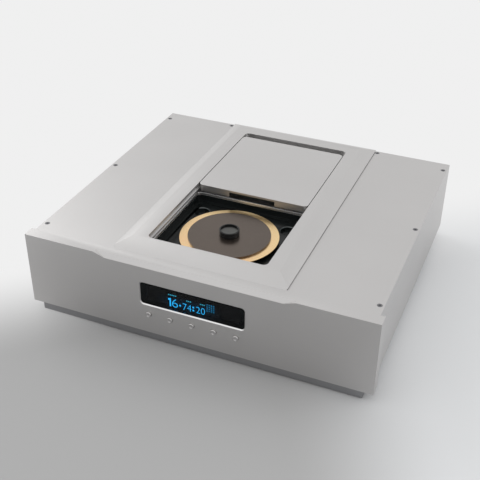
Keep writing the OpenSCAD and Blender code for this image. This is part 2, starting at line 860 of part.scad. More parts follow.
module lid() color("lightgray") from_front() difference() {
    round_plate(lid_w, lid_len, bay_r, lid_front + lid_len / 2, lid_under, z_centre);
    mid_block(lid_w - 2 * lid_wall, lid_front + lid_wall, lid_rear - lid_wall, lid_under - past,
        z_centre - lid_skin);
    mid_block(pull_w, lid_front - past, lid_front + lid_wall + past, lid_under - past, lid_under + pull_h);
    for (s = [0, 1]) mirror([s, 0, 0]) {
        block(groove_in, lid_w / 2 + past, lid_front - past, lid_rear + past, rail_under - move_gap,
            rail_top + move_gap);
        for (y = pad_starts()) block(lid_w / 2 - pad_in, lid_w / 2 + past, y, y + pad_len, pad_under,
            pad_top);
    }
}

function pad_starts() = [lid_front + pad_inset, lid_rear - pad_inset - pad_len];

// Low-friction pads set in the lid's sides, each grooved to run along its rail
module lid_slide_pads() color("white") from_front() {
    for (s = [0, 1], y = pad_starts()) mirror([s, 0, 0]) difference() {
        block(lid_w / 2 - pad_in, lid_w / 2, y, y + pad_len, pad_under, pad_top);
        block(groove_in, lid_w / 2 + past, y - past, y + pad_len + past, rail_under - pad_play,
            rail_top + pad_play);
    }
}

module lid_rail() color("silver") from_front() {
    block(bay_w / 2 - rail_w, bay_w / 2, bay_front + bay_r, bay_rear - bay_r, rail_under, rail_top);
}

module left_lid_rail() { mirror([1, 0, 0]) lid_rail(); }

module right_lid_rail() { lid_rail(); }

module lid_bumpers() color("black") from_front() {
    for (x = [-1, 1], y = [bay_front, bay_rear - bumper_t])
        rod_along_y(x * bay_w / 3, y, y + bumper_t, bumper_z, bumper_d);
}

module bay_floor() color("gray") from_front() difference() {
    mid_block(bay_w + 2 * skirt_t, bay_front - skirt_t, bay_rear + skirt_t, z_bay_under, z_bay);
    round_plate(well_w, well_len, well_r, well_mid, z_bay_under - past, z_bay + past);
    skirt_screw_places() screw_hole(small_screw, false);
    ear_screw_places() screw_hole(small_screw, false);
}

module well_rim() color("white") from_front() difference() {
    round_plate(well_w + 2 * rim_w, well_len + 2 * rim_w, well_r + rim_w, well_mid, z_bay, z_bay + rim_h);
    round_plate(well_w, well_len, well_r, well_mid, z_bay - past, z_bay + rim_h + past);
}

// Black tub under the bay's floor, with a hub hole, a slot for the pickup and a pocket in each rear corner
module disc_well() color("black") from_front() difference() {
    union() {
        round_plate(well_w + 2 * well_wall, well_len + 2 * well_wall, well_r + well_wall, well_mid,
            well_under, z_bay_under);
        for (x = [-ear_x, ear_x], s = [-1, 1])
            block(x - ear / 2, x + ear / 2, ear_y(s) - ear / 2 - (s > 0 ? past : 0),
                ear_y(s) + ear / 2 + (s < 0 ? past : 0), z_bay_under - ear_t, z_bay_under);
        for (x = [-pocket_x, pocket_x])
            post([x, pocket_y], well_floor_z - pocket_deep - pocket_base, well_under + eps,
                pocket_d + 2 * pocket_wall);
    }
    round_plate(well_w, well_len, well_r, well_mid, well_step_z, z_bay_under + past);
    round_plate(well_w - 2 * well_step, well_len - 2 * well_step, well_r - well_step / 2, well_mid,
        well_floor_z, z_bay_under);
    post([0, spindle_y], well_under - past, z_bay_under, hub_d + 2 * hub_clear);
    mid_block(2 * slot_half, spindle_y, lens_y + sled_out + lens_box[1] / 2 + slot_end, well_under - past,
        z_bay_under);
    for (x = [-pocket_x, pocket_x])
        post([x, pocket_y], well_floor_z - pocket_deep, well_floor_z + past, pocket_d);
    ear_screw_places() screw_hole(small_screw, false);
}

// Disc and clamp

module disc() color("goldenrod") from_front() difference() {
    post([0, spindle_y], disc_under, disc_top, disc_d);
    post([0, spindle_y], disc_under - past, disc_top + past, disc_hole);
}

module clamp_plate() color("dimgray") from_front() difference() {
    post([0, spindle_y], disc_top, knob_base, clamp_d);
    post([0, spindle_y], disc_top - past, knob_base + past, knob_spigot_d + 2 * slip);
}

// Cup-shaped knob with a groove round its waist and a spigot into the plate
module clamp_knob() color("black") from_front() translate([0, spindle_y, knob_base]) {
    foot = knob_spigot_short - clamp_t;
    waist = knob_d / 2 - knob_groove;
    rotate_extrude() polygon([[0, foot], [knob_spigot_d / 2, foot], [knob_spigot_d / 2, 0], [waist, 0],
        [knob_d / 2, knob_groove], [knob_d / 2, knob_groove_z], [waist, knob_groove_z],
        [waist, knob_groove_z + knob_groove], [knob_d / 2, knob_groove_z + knob_groove],
        [knob_d / 2, knob_h - knob_groove], [waist, knob_h], [knob_d / 2 - knob_rim, knob_h],
        [knob_d / 2 - knob_rim, knob_h - knob_dish], [0, knob_h - knob_dish]]);
}

module knob_insert() color("gray") from_front() {
    insert_z = knob_base + knob_h - knob_dish;
    post([0, spindle_y], insert_z, insert_z + insert_t, knob_d - 2 * knob_rim - 2 * slip);
}

// Mechanism

module turntable_hub() color("white") from_front() difference() {
    union() {
        post([0, spindle_y], motor_top + hub_lift, disc_under, hub_stem_d);
        post([0, spindle_y], disc_under - hub_flange_t, disc_under, hub_d);
        post([0, spindle_y], disc_under - eps, disc_under + hub_boss_h, hub_boss_d);
    }
    post([0, spindle_y], motor_top, disc_under, shaft_d + 2 * press_gap);
}

module spindle_shaft() color("silver") from_front() {
    post([0, spindle_y], deck_top + deck_clear, disc_under, shaft_d);
}

module spindle_motor() color("silver") from_front() difference() {
    post([0, spindle_y], deck_top, motor_top, motor_d);
    post([0, spindle_y], deck_top - past, motor_top + past, shaft_d + 2 * run_gap);
}

// Deck plate with four upright tabs that hold the guide rods
module mechanism_deck() color("silver") from_front() difference() {
    union() {
        block(deck_left, deck_right, deck_fore, deck_aft, deck_under, deck_top);
        for (x = [-rod_x, rod_x], y = [tab_fore_y, tab_aft_y])
            block(x - rod_tab_half, x + rod_tab_half, y, y + tab_t, deck_top - eps,
                rod_z + rod_d / 2 + tab_over);
    }
    for (x = [-rod_x, rod_x]) rod_along_y(x, tab_fore_y - past, tab_aft_y + tab_t + past, rod_z,
        rod_d + 2 * press_gap);
    for (p = deck_screws_at) post(p, deck_under - past, deck_top + past, deck_screw[2] + 2 * slip);
    post([gear_x, gear_y], deck_under - past, deck_top + past, gear_pin_d + 2 * press_gap);
    post([pinion_x, pinion_y], deck_under - past, deck_top + past, pinion_shaft_d + 2 * pinion_hole_gap);
}

module deck_posts() color("silver") from_front() difference() {
    for (p = deck_screws_at) post(p, z_body, deck_post_top, deck_post_d);
    deck_screw_places() screw_hole(deck_screw, false);
}

module deck_screw_places() {
    for (p = deck_screws_at) translate([p[0], p[1], deck_top + deck_screw[1]]) children();
}

module deck_dampers() color("black") from_front() difference() {
    for (p = deck_screws_at) post(p, deck_post_top, deck_under, damper_d);
    deck_screw_places() screw_hole(deck_screw, false);
}

module deck_screws() color("dimgray") from_front() { deck_screw_places() screw(deck_screw); }

// Pickup carriage: a bored ear on one rod, a fork on the other, and the rack
module pickup_sled() color("dimgray") from_front() difference() {
    union() {
        mid_block(2 * sled_half, lens_y - sled_fore, lens_y + sled_aft, sled_under, sled_top);
        block(sled_half - eps, ear_out, lens_y - sled_fore, lens_y + sled_aft, sled_under, sled_top);
        block(-ear_out, eps - sled_half, lens_y + fork_at[0], lens_y + fork_at[1], sled_under, sled_top);
        mid_block(lens_box[0], lens_y - lens_box[1] / 2, lens_y + lens_box[1] / 2, sled_top - eps,
            lens_top - lens_sink);
        translate([0, 0, rack_z]) linear_extrude(rack_h) polygon(rack_points());
    }
    rod_along_y(rod_x, lens_y - sled_fore - past, lens_y + sled_aft + past, rod_z, rod_d + 2 * run_gap);
    block(-ear_out - past, -rod_x + rod_d / 2 + fork_play, lens_y + fork_at[0] - past,
        lens_y + fork_at[1] + past,
        rod_z - rod_d / 2 - run_gap, rod_z + rod_d / 2 + run_gap);
    post([0, lens_y], lens_top - lens_h, lens_top, lens_d + 2 * slip);
}

// Rack outline: its gaps lie where the gear's teeth stand at rest
function rack_tooth(y) =
    let (mid = rack_pitch / 4 - backlash / 4, foot = mid + dedendum * tan(pressure),
        tip = mid - addendum * tan(pressure))
    [[rack_line - dedendum, y - foot], [rack_line + addendum, y - tip],
     [rack_line + addendum, y + tip], [rack_line - dedendum, y + foot]];
function rack_points() =
    let (first = -floor((gear_y - rack_fore - rack_end) / rack_pitch),
         last = floor((rack_aft - gear_y - rack_end) / rack_pitch))
    concat([[ear_out - eps, rack_fore], [rack_line - dedendum, rack_fore]],
        [for (k = [first:last - 1]) each rack_tooth(gear_y + (k + 0.5) * rack_pitch)],
        [[rack_line - dedendum, rack_aft], [ear_out - eps, rack_aft]]);

module pickup_lens() color("lightblue") from_front() translate([0, lens_y, lens_top - lens_h]) {
    rotate_extrude() polygon(concat([[0, 0], [lens_d / 2, 0]],
        [for (a = [0:15:90]) [lens_d / 2 * cos(a), lens_edge + (lens_h - lens_edge) * sin(a)]]));
}

module guide_rods() color("silver") from_front() {
    for (x = [-rod_x, rod_x]) rod_along_y(x, tab_fore_y, tab_aft_y + tab_t, rod_z, rod_d);
}

module drive_gear() color("white") from_front() translate([gear_x, gear_y, 0]) difference() {
    union() {
        gear(large_gear_teeth, pinion_angle, gear_z, gear_top);
        gear(rack_gear_teeth, 180, gear_top - eps, small_gear_top);
    }
    post([0, 0], deck_top, small_gear_top + past, gear_pin_d + 2 * run_gap);
}

// Pin with a clip that keeps the gear on it
module gear_pin() color("silver") from_front() {
    post([gear_x, gear_y], deck_under, clip_z + eps, gear_pin_d);
    post([gear_x, gear_y], clip_z, clip_z + clip_t, gear_pin_d + 2 * clip_w);
}

module motor_pinion() color("goldenrod") from_front() translate([pinion_x, pinion_y, 0]) {
    gear(pinion_teeth, pinion_angle + 180 + 180 / pinion_teeth, gear_z, gear_top);
    post([0, 0], deck_under - sled_motor_h + pinion_tail, gear_top + pinion_tip, pinion_shaft_d);
}

module sled_motor() color("silver") from_front() difference() {
    post([pinion_x, pinion_y], deck_under - sled_motor_h, deck_under, sled_motor_d);
    post([pinion_x, pinion_y], deck_under - sled_motor_h - past, deck_under + past,
        pinion_shaft_d + 2 * run_gap);
}

// Display and buttons

module display_window() color("black") from_front() {
    round_panel(disp_w - 2 * slip, disp_h - 2 * slip, disp_r - slip, 0, disp_z, window_setback, window_back);
}

module display_glass() color("darkslategray") from_front() {
    mid_block(glass_w, window_back + glass_gap, disp_board_y, disp_z - glass_h / 2, disp_z + glass_h / 2);
}

module display_board() color("darkgreen") from_front() {
    mid_block(2 * disp_board_half, disp_board_y, disp_board_y + board_t, disp_z - disp_board_h / 2,
        disp_z + disp_board_h / 2);
    block(ribbon_x, ribbon_x + plug_w, disp_board_y + board_t - eps, disp_board_y + board_t + plug_h,
        disp_z - plug_h / 2, disp_z + plug_h / 2);
}

// Board with one switch behind each button
module button_board() color("darkgreen") from_front() {
    mid_block(2 * button_board_half, button_board_y, button_board_y + board_t, button_z - button_board_h / 2,
        button_z + button_board_h / 2);
    for (x = button_xs) block(x - switch_size / 2, x + switch_size / 2, button_board_y - switch_h,
        button_board_y + eps, button_z - switch_size / 2, button_z + switch_size / 2);
}

module push_button(i) color("silver") from_front() translate([button_xs[i], 0, button_z])
    rotate([-90, 0, 0]) {
    neck = front_t + move_gap;
    rotate_extrude() polygon([[0, -button_proud], [button_d / 2 - button_edge, -button_proud],
        [button_d / 2, button_edge - button_proud], [button_d / 2, neck], [button_flange_d / 2, neck],
        [button_flange_d / 2, neck + button_flange_t], [button_stem_r, neck + button_flange_t],
        [button_stem_r, button_stem_y], [0, button_stem_y]]);
}

module button_far_left() { push_button(0); }

module button_left() { push_button(1); }

module button_centre() { push_button(2); }

module button_right() { push_button(3); }

module button_far_right() { push_button(4); }

// Supply and boards

module power_transformer() color("darkorange") from_front() {
    translate([core_at[0], core_at[1], core_z]) rotate_extrude()
        translate([(core_d + core_hole) / 4, core_h / 2])
        round_rect((core_d - core_hole) / 2, core_h, core_edge);
}

// Rubber-faced dish, washer and bolt that hold the transformer down
module transformer_bolt() color("dimgray") from_front() {
    post(core_at, z_body, core_z, core_washer_d);
    top = core_z + core_h + core_washer_t;
    post(core_at, core_z + core_h, top, core_washer_d);
    post(core_at, core_z - eps, top + eps, core_bolt_d);
    post(core_at, top - eps, top + core_head_h, core_head_d);
}

function board_corners(at, size) =
    [for (x = [at[0] + standoff_in, at[0] + size[0] - standoff_in],
        y = [at[1] + standoff_in, at[1] + size[1] - standoff_in]) [x, y]];

module circuit_board(at, size) {
    block(at[0], at[0] + size[0], at[1], at[1] + size[1], board_z, board_top);
}

module power_board_assembly() color("darkgreen") from_front() {
    circuit_board(power_board_at, power_board);
    translate([power_middle[0] - sink_w / 2, power_board_at[1] + power_board[1] - sink_rear,
        board_top - eps]) {
        cube([sink_w, sink_web, sink_h]);
        for (i = [0:sink_last]) translate([i * (sink_w - sink_fin) / sink_last, sink_web - eps, 0])
            cube([sink_fin, sink_l - sink_web, sink_h]);
    }
}

module capacitors() color("navy") from_front() {
    for (x = [-1, 1], y = [-1, 1])
        post(power_middle + [x, y] * (cap_d + cap_gap) / 2 - [0, cap_ahead], board_top,
            board_top + cap_h, cap_d);
}

// Main board with its chips, a shielded clock can and the ribbon's plug
module main_board_assembly() color("darkgreen") from_front() {
    circuit_board(main_board_at, main_board);
    for (c = chips) translate([main_board_at[0] + c[0] * main_board[0],
        main_board_at[1] + c[1] * main_board[1],
        board_top - eps]) cube([c[2], c[3], c[4]]);
    block(ribbon_x, ribbon_x + plug_w, main_board_at[1] + plug_in, main_board_at[1] + plug_in + plug_h,
        board_top - eps, board_top + plug_h);
}

// Standoffs of the inner boards and spacers of the front boards
module board_standoffs() color("silver") from_front() {
    for (p = board_corners(power_board_at, power_board)) post(p, z_body, board_z, standoff_d);
    for (p = board_corners(main_board_at, main_board)) post(p, z_body, board_z, standoff_d);
    for (x = [-1, 1], z = [-1, 1]) rod_along_y(x * (disp_w / 2 + spacer_side), front_t, disp_board_y,
        disp_z + z * (disp_board_h / 2 - spacer_edge), spacer_d);
    for (x = [-1.5, 1.5]) rod_along_y(x * button_pitch, front_t, button_board_y, button_z, spacer_d);
}

// Flat cable from the main board's plug to the display board's plug
module display_ribbon() color("gainsboro") from_front() {
    start = [main_board_at[1] + plug_in + plug_h / 2, board_top + plug_h];
    finish = [disp_board_y + board_t + plug_h, disp_z];
    r = ribbon_bend;
    low = start + [-r, ribbon_lead];
    high = finish + [ribbon_lead, -r];
    path = concat([start], bend(low, r, 0, 90, 6), bend([high[0] + 2 * r, low[1] + 2 * r], r, 270, 180, 6),
        bend(high, r, 0, 90, 6), [finish]);
    translate([ribbon_x + plug_wall, 0, 0]) rotate([90, 0, 90]) linear_extrude(ribbon_w)
        polygon(strip_points(path, ribbon_t));
}

// Rear sockets

// Mains inlet with the power switch's frame in one moulding
module mains_inlet() color("black") from_front() translate([-inlet_x, 0, socket_z]) difference() {
    union() {
        mid_block(inlet_flange[0], body_d, body_d + socket_flange_t, -inlet_flange[1] / 2,
            inlet_flange[1] / 2);
        mid_block(inlet_body[0], body_d - inlet_depth, body_d + eps, -inlet_body[1] / 2, inlet_body[1] / 2);
    }
    block(inlet_mouth_x - inlet_mouth[0] / 2, inlet_mouth_x + inlet_mouth[0] / 2,
        body_d + socket_flange_t - inlet_mouth[2],
        body_d + socket_flange_t + past, -inlet_mouth[1] / 2, inlet_mouth[1] / 2);
    block(rocker_x - rocker_hole[0] / 2, rocker_x + rocker_hole[0] / 2,
        body_d + socket_flange_t - rocker_hole[2],
        body_d + socket_flange_t + past, -rocker_hole[1] / 2, rocker_hole[1] / 2);
    rod_along_x(rocker_x - rocker_hole[0] / 2 - rocker_pin_reach,
        rocker_x + rocker_hole[0] / 2 + rocker_pin_reach,
        rocker_pivot_y, 0, rocker_pin_d + 2 * run_gap);
}

// Rocker with a shallow dished face, tilted to the side on which it rests
module power_rocker() color("black") from_front() translate([rocker_x - inlet_x, rocker_pivot_y, socket_z])
    rotate([rocker_tilt, 0, 0]) {
        translate([-rocker_w / 2, 0, 0]) rotate([90, 0, 90]) linear_extrude(rocker_w) polygon([
            [-rocker_root[0], -rocker_root[1]], [-rocker_root[0], rocker_root[1]],
                [rocker_face[0], rocker_half],
            [rocker_face[1], rocker_half], [rocker_face[1] - rocker_dish, 0], [rocker_face[1], -rocker_half],
            [rocker_face[0], -rocker_half]]);
        pin_half = rocker_hole[0] / 2 + rocker_pin_reach - rocker_pin_gap;
        rod_along_x(-pin_half, pin_half, 0, 0, rocker_pin_d);
    }

// Blades of the mains inlet and pins of the balanced socket
module socket_pins() color("silver") from_front() {
    inlet_floor = body_d + socket_flange_t - inlet_mouth[2];
    for (p = [[-1, -1], [0, 1], [1, -1]])
        translate([inlet_mouth_x - inlet_x + p[0] * blade_pitch - blade[0] / 2, inlet_floor,
            socket_z + p[1] * blade_rise - blade[1] / 2])
                cube([blade[0], inlet_mouth[2] - pin_short, blade[1]]);
    balanced_floor = body_d + socket_flange_t - balanced_mouth_l;
    for (a = [-30, 90, 210]) rod_along_y(balanced_x + pin_ring_r * cos(a), balanced_floor,
        balanced_floor + balanced_mouth_l - pin_short, socket_z + pin_ring_r * sin(a), pin_d);
}

module coax_socket() color("goldenrod") from_front() difference() {
    union() {
        rod_along_y(coax_x, body_d - coax_body_l, body_d + eps, socket_z, coax_body_d);
        rod_along_y(coax_x, body_d, body_d + coax_washer_t, socket_z, coax_washer_d);
        rod_along_y(coax_x, body_d, body_d + rear_proud, socket_z, coax_d);
    }
    rod_along_y(coax_x, body_d, body_d + rear_proud + past, socket_z, coax_bore);
}

module balanced_socket() color("dimgray") from_front() difference() {
    union() {
        round_panel(balanced_flange[0], balanced_flange[1], balanced_r, balanced_x, socket_z, body_d,
            body_d + socket_flange_t);
        rod_along_y(balanced_x, body_d - balanced_depth, body_d + eps, socket_z,
            balanced_d + 2 * balanced_wall);
    }
    rod_along_y(balanced_x, body_d + socket_flange_t - balanced_mouth_l, body_d + socket_flange_t + past,
        socket_z, balanced_d);
}

base_plate();
foot_pads();
front_panel();
rear_panel();
left_side_panel();
right_side_panel();
top_cover();
lid_surround();
corner_posts();
cover_screws();
surround_screws();
post_screws();
lid();
lid_slide_pads();
left_lid_rail();
right_lid_rail();
lid_bumpers();
bay_floor();
well_rim();
disc_well();
disc();
clamp_plate();
clamp_knob();
knob_insert();
turntable_hub();
spindle_shaft();
spindle_motor();
mechanism_deck();
deck_posts();
deck_dampers();
deck_screws();
pickup_sled();
pickup_lens();
guide_rods();
drive_gear();
gear_pin();
motor_pinion();
sled_motor();
display_window();
display_glass();
display_board();
button_board();
button_far_left();
button_left();
button_centre();
button_right();
button_far_right();
power_transformer();
transformer_bolt();
power_board_assembly();
capacitors();
main_board_assembly();
board_standoffs();
display_ribbon();
mains_inlet();
power_rocker();
socket_pins();
coax_socket();
balanced_socket();
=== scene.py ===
"""Finishes, stage and camera for a flat silver top-loading disc transport."""

import json
import math

import bmesh
import bpy
from mathutils import Matrix, Vector

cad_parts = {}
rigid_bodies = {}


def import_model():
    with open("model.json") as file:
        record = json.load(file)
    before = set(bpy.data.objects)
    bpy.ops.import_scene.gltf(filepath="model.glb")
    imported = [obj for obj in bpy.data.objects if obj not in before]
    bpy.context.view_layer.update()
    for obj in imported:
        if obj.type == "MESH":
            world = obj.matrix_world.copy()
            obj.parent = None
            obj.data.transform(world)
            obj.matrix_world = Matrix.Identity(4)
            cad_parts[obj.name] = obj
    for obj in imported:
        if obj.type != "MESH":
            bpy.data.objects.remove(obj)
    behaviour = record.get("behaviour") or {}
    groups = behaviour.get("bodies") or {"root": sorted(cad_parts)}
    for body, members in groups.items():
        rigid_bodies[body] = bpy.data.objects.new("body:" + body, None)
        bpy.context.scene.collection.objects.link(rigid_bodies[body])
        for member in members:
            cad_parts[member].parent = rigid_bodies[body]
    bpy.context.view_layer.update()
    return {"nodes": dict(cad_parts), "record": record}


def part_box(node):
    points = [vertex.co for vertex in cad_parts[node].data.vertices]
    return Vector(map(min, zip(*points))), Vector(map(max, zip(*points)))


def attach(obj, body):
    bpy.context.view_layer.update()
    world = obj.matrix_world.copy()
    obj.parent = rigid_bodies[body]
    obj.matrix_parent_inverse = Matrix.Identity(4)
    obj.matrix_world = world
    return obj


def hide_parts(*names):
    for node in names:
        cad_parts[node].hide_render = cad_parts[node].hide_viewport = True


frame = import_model()

bl_info = {
    "name": "Disc transport",
    "version": (1, 0, 0),
    "blender": (4, 5, 0),
    "location": "3D View > Sidebar > Transport",
    "description": "Dresses the solids of a top-loading disc transport and sets its stage",
    "category": "Object",
}

SLOT_OF = {part["node"]: part["material_slot"] for part in frame["record"]["subparts"]}
BODY_OF = {node: body for body, nodes in frame["record"]["behaviour"]["bodies"].items() for node in nodes}
SPINDLE = (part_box("disc")[0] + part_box("disc")[1]) / 2
BUTTONS = ("button_far_left", "button_left", "button_centre", "button_right", "button_far_right")
WAVE_UNIT = 20
RIB_PITCH = 0.00125


# Settings

class CaseSettings(bpy.types.PropertyGroup):
    """Colours and edges of the silver case."""

    panel_colour: bpy.props.FloatVectorProperty(
        name="Panel colour", description="Colour of the satin aluminium panels",
        subtype="COLOR", min=0.0, max=1.0, default=(0.585, 0.575, 0.57))
    panel_roughness: bpy.props.FloatProperty(
        name="Panel roughness", description="How matt the blasted aluminium is",
        subtype="FACTOR", min=0.0, max=1.0, default=0.42)
    # The plinth's darker colour is painted shade, standing for the shadow under the front panel's overhang
    plinth_shade_colour: bpy.props.FloatVectorProperty(
        name="Plinth colour", description="Colour of the plinth under the case",
        subtype="COLOR", min=0.0, max=1.0, default=(0.33, 0.33, 0.34))
    panel_edge: bpy.props.FloatProperty(
        name="Panel edge", description="Radius of the panels' broken edges",
        unit="LENGTH", min=0.0, default=0.0005)
    pocket_mouth: bpy.props.FloatProperty(
        name="Pocket mouth", description="Radius of the mouths of the well's two pockets",
        unit="LENGTH", min=0.0, default=0.0011)
    small_edge: bpy.props.FloatProperty(
        name="Small edge", description="Radius of the edges of small pieces",
        unit="LENGTH", min=0.0, default=0.00025)


class DiscSettings(bpy.types.PropertyGroup):
    """Colours of the disc, its clamp and its well."""

    disc_colour: bpy.props.FloatVectorProperty(
        name="Disc colour", description="Colour of the disc's metal layer",
        subtype="COLOR", min=0.0, max=1.0, default=(0.9, 0.66, 0.34))
    clamp_colour: bpy.props.FloatVectorProperty(
        name="Clamp colour", description="Colour of the lacquered clamp plate",
        subtype="COLOR", min=0.0, max=1.0, default=(0.122, 0.098, 0.082))
    well_colour: bpy.props.FloatVectorProperty(
        name="Well colour", description="Colour of the moulded disc well",
        subtype="COLOR", min=0.0, max=1.0, default=(0.008, 0.01, 0.01))
    groove_pitch: bpy.props.FloatProperty(
        name="Groove pitch", description="Spacing of the fine turned rings",
        unit="LENGTH", min=0.00005, default=0.0004)


class DisplaySettings(bpy.types.PropertyGroup):
    """What the display shows and how brightly."""

    track: bpy.props.StringProperty(
        name="Track", description="Large figures on the left", default="16")
    minutes: bpy.props.StringProperty(
        name="Minutes", description="Figures in the middle", default="74")
    seconds: bpy.props.StringProperty(
        name="Seconds", description="Figures on the right", default="20")
    lit_colour: bpy.props.FloatVectorProperty(
        name="Lit colour", description="Colour of the lit segments",
        subtype="COLOR", min=0.0, max=1.0, default=(0.018, 0.44, 0.94))
    mark_colour: bpy.props.FloatVectorProperty(
        name="Mark colour", description="Colour of the small marks above the figures",
        subtype="COLOR", min=0.0, max=1.0, default=(0.04, 0.55, 0.8))
    lit_strength: bpy.props.FloatProperty(
        name="Lit strength", description="Brightness of the lit segments behind the tinted window",
        min=0.0, default=6.0)
    dim_strength: bpy.props.FloatProperty(
        name="Dim strength", description="Brightness of the small marks above the figures",
        min=0.0, default=4.0)
    tint: bpy.props.FloatProperty(
        name="Window tint", description="How much the dark window holds back",
        subtype="FACTOR", min=0.0, max=1.0, default=0.55)


class StageSettings(bpy.types.PropertyGroup):
    """Camera, floor and light."""

    azimuth: bpy.props.FloatProperty(
        name="Azimuth", description="Camera's turn to the right of the front",
        subtype="ANGLE", default=math.radians(22.565))
    elevation: bpy.props.FloatProperty(
        name="Elevation", description="Camera's angle above the floor",
        subtype="ANGLE", default=math.radians(32.792))
    roll: bpy.props.FloatProperty(
        name="Roll", description="Camera's tilt about its own line of sight",
        subtype="ANGLE", default=math.radians(0.524))
    distance: bpy.props.FloatProperty(
        name="Distance", description="Camera's distance from the point it looks at",
        unit="LENGTH", min=0.1, default=1.0728)
    aim: bpy.props.FloatVectorProperty(
        name="Aim", description="Point that the camera looks at",
        subtype="TRANSLATION", unit="LENGTH", default=(-0.005406, -0.036981, 0.062))
    lens: bpy.props.FloatProperty(
        name="Lens", description="Focal length in millimetres on a 36 mm sensor",
        min=10.0, default=63.67)
    backdrop: bpy.props.FloatProperty(
        name="Backdrop", description="Brightness of the pale backdrop and the sky light",
        min=0.0, max=1.0, default=0.87)
    # Floor colour where shade is painted at the front left
    floor_shade_colour: bpy.props.FloatVectorProperty(
        name="Floor, left", description="Floor colour at the front left",
        subtype="COLOR", min=0.0, max=1.0, default=(0.43, 0.43, 0.43))
    floor_light: bpy.props.FloatVectorProperty(
        name="Floor, right", description="Floor colour at the right",
        subtype="COLOR", min=0.0, max=1.0, default=(0.73, 0.74, 0.75))
    softbox_power: bpy.props.FloatProperty(
        name="Softbox power", description="Power of the large lamp behind on the left",
        min=0.0, default=8.5)
    fill_power: bpy.props.FloatProperty(
        name="Fill power", description="Power of the lamp on the right",
        min=0.0, default=6.0)
    front_power: bpy.props.FloatProperty(
        name="Front power", description="Power of the lamp high at the front left",
        min=0.0, default=0.9)


# Shader maths

class Wire:
    """One output of a node tree; arithmetic on it adds Math nodes."""

    def __init__(self, tree, socket=None):
        self.tree = tree
        self.socket = socket

    def node(self, kind, sockets, output=0, **settings):
        """Adds a node of any kind: its settings first, then the values or links of its sockets."""
        made = self.tree.nodes.new(kind)
        for name, value in settings.items():
            setattr(made, name, value)
        for key, value in sockets.items():
            if isinstance(value, Wire):
                self.tree.links.new(value.socket, made.inputs[key])
            else:
                made.inputs[key].default_value = value
        return Wire(self.tree, made.outputs[output])

    def into(self, socket):
        """Links this output to a shader's socket."""
        self.tree.links.new(self.socket, socket)

    def maths(self, operation, first, second=0.0):
        """One Math node."""
        return self.node("ShaderNodeMath", {0: first, 1: second}, operation=operation)

    def __add__(self, other):
        return self.maths("ADD", self, other)

    def __sub__(self, other):
        return self.maths("SUBTRACT", self, other)

    def __rsub__(self, other):
        return self.maths("SUBTRACT", other, self)

    def __mul__(self, other):
        return self.maths("MULTIPLY", self, other)

    __radd__ = __add__
    __rmul__ = __mul__

    def power(self, exponent):
        """This value raised to a power."""
        return self.maths("POWER", self, exponent)

    def size(self):
        """This value without its sign."""
        return self.maths("ABSOLUTE", self)

    def step(self, low, high):
        """0 below low, 1 above high, smooth between."""
        return self.node("ShaderNodeMapRange", {"Value": self, "From Min": low, "From Max": high},
                         interpolation_type="SMOOTHSTEP")

    def blend(self, low, high):
        """The colour low where this value is 0, and high where it is 1."""
        return self.node("ShaderNodeMix", {0: self, 6: low, 7: high}, output=2, data_type="RGBA")

    def shade(self, colour, low, high):
        """One colour, with the gain low where this value is 0, and high where it is 1."""
        return self.blend(rgba(colour, low), rgba(colour, high))

    def split(self):
        """The three coordinates of this place."""
        made = self.node("ShaderNodeSeparateXYZ", {0: self})
        return [Wire(self.tree, socket) for socket in made.socket.node.outputs]


def rgba(colour, gain=1.0):
    """A colour with an alpha of one, made lighter or darker by gain."""
    return tuple(min(1.0, channel * gain) for channel in colour[:3]) + (1.0,)


def new_finish(name, **constants):
    """A new material with its constants set, its shader and the object coordinates."""
    material = bpy.data.materials.new(name)
    material.use_nodes = True
    tree = material.node_tree
    shader = next(node for node in tree.nodes if node.type == "BSDF_PRINCIPLED")
    for socket, value in constants.items():
        shader.inputs[socket.replace("_", " ")].default_value = value
    return material, shader, Wire(tree).node("ShaderNodeTexCoord", {}, output="Object")


def noise(place, scale, detail=2.0):
    """Soft cloud or fine grain, from 0 to 1."""
    return place.node("ShaderNodeTexNoise", {"Vector": place, "Scale": scale, "Detail": detail})


def stretched(place, scale):
    """Object coordinates scaled unevenly, for grain that runs one way."""
    return place.node("ShaderNodeMapping", {"Vector": place, "Scale": scale})


def bump(shader, height, strength, distance):
    """Feeds a height to the shader's normal."""
    made = height.node("ShaderNodeBump", {"Height": height, "Strength": strength, "Distance": distance},
                       output="Normal")
    made.into(shader.inputs["Normal"])


def wave_scale(pitch):
    """The Wave node's scale for waves of a pitch; the node itself multiplies lengths by WAVE_UNIT."""
    return 2 * math.pi / (WAVE_UNIT * pitch)


def rings(place, pitch):
    """Fine rings about the spindle, from 0 to 1."""
    moved = place.node("ShaderNodeMapping", {"Vector": place, "Location": (-SPINDLE.x, -SPINDLE.y, 0.0)})
    return moved.node("ShaderNodeTexWave", {"Vector": moved, "Scale": wave_scale(pitch)},
                      output="Fac", wave_type="RINGS", rings_direction="Z")


# Finishes

# Grains, in features per metre
HANDLING_CLOUDS = 11.0
BLAST_GRAIN = 2600.0
DRAWN_LINES = 60.0
LATHE_CLOUDS = 40.0
MOULD_SKIN = 1500.0
MOULD_CLOUDS = 25.0
RUBBER_DUST = 90.0
TINT_CLOUDS = 14.0
LACQUER_CLOUDS = 18.0
BLACK_HAIRLINES = 90.0
WINDOW_HAIRLINES = 60.0
TUBE_MESH = 400.0
SEGMENT_DOTS = 700.0
BOARD_TRACES = 160.0
BOARD_CLOUDS = 200.0
WIRE_TURNS = 900.0
LENS_FILM = 300.0

# Heights of surface relief, in metres
SKIN_RELIEF = 0.00005
LATHE_RELIEF = 0.00004
TRACK_RELIEF = 0.00003
DUST_RELIEF = 0.0001
WIRE_RELIEF = 0.0002
RIB_RELIEF = 0.0003

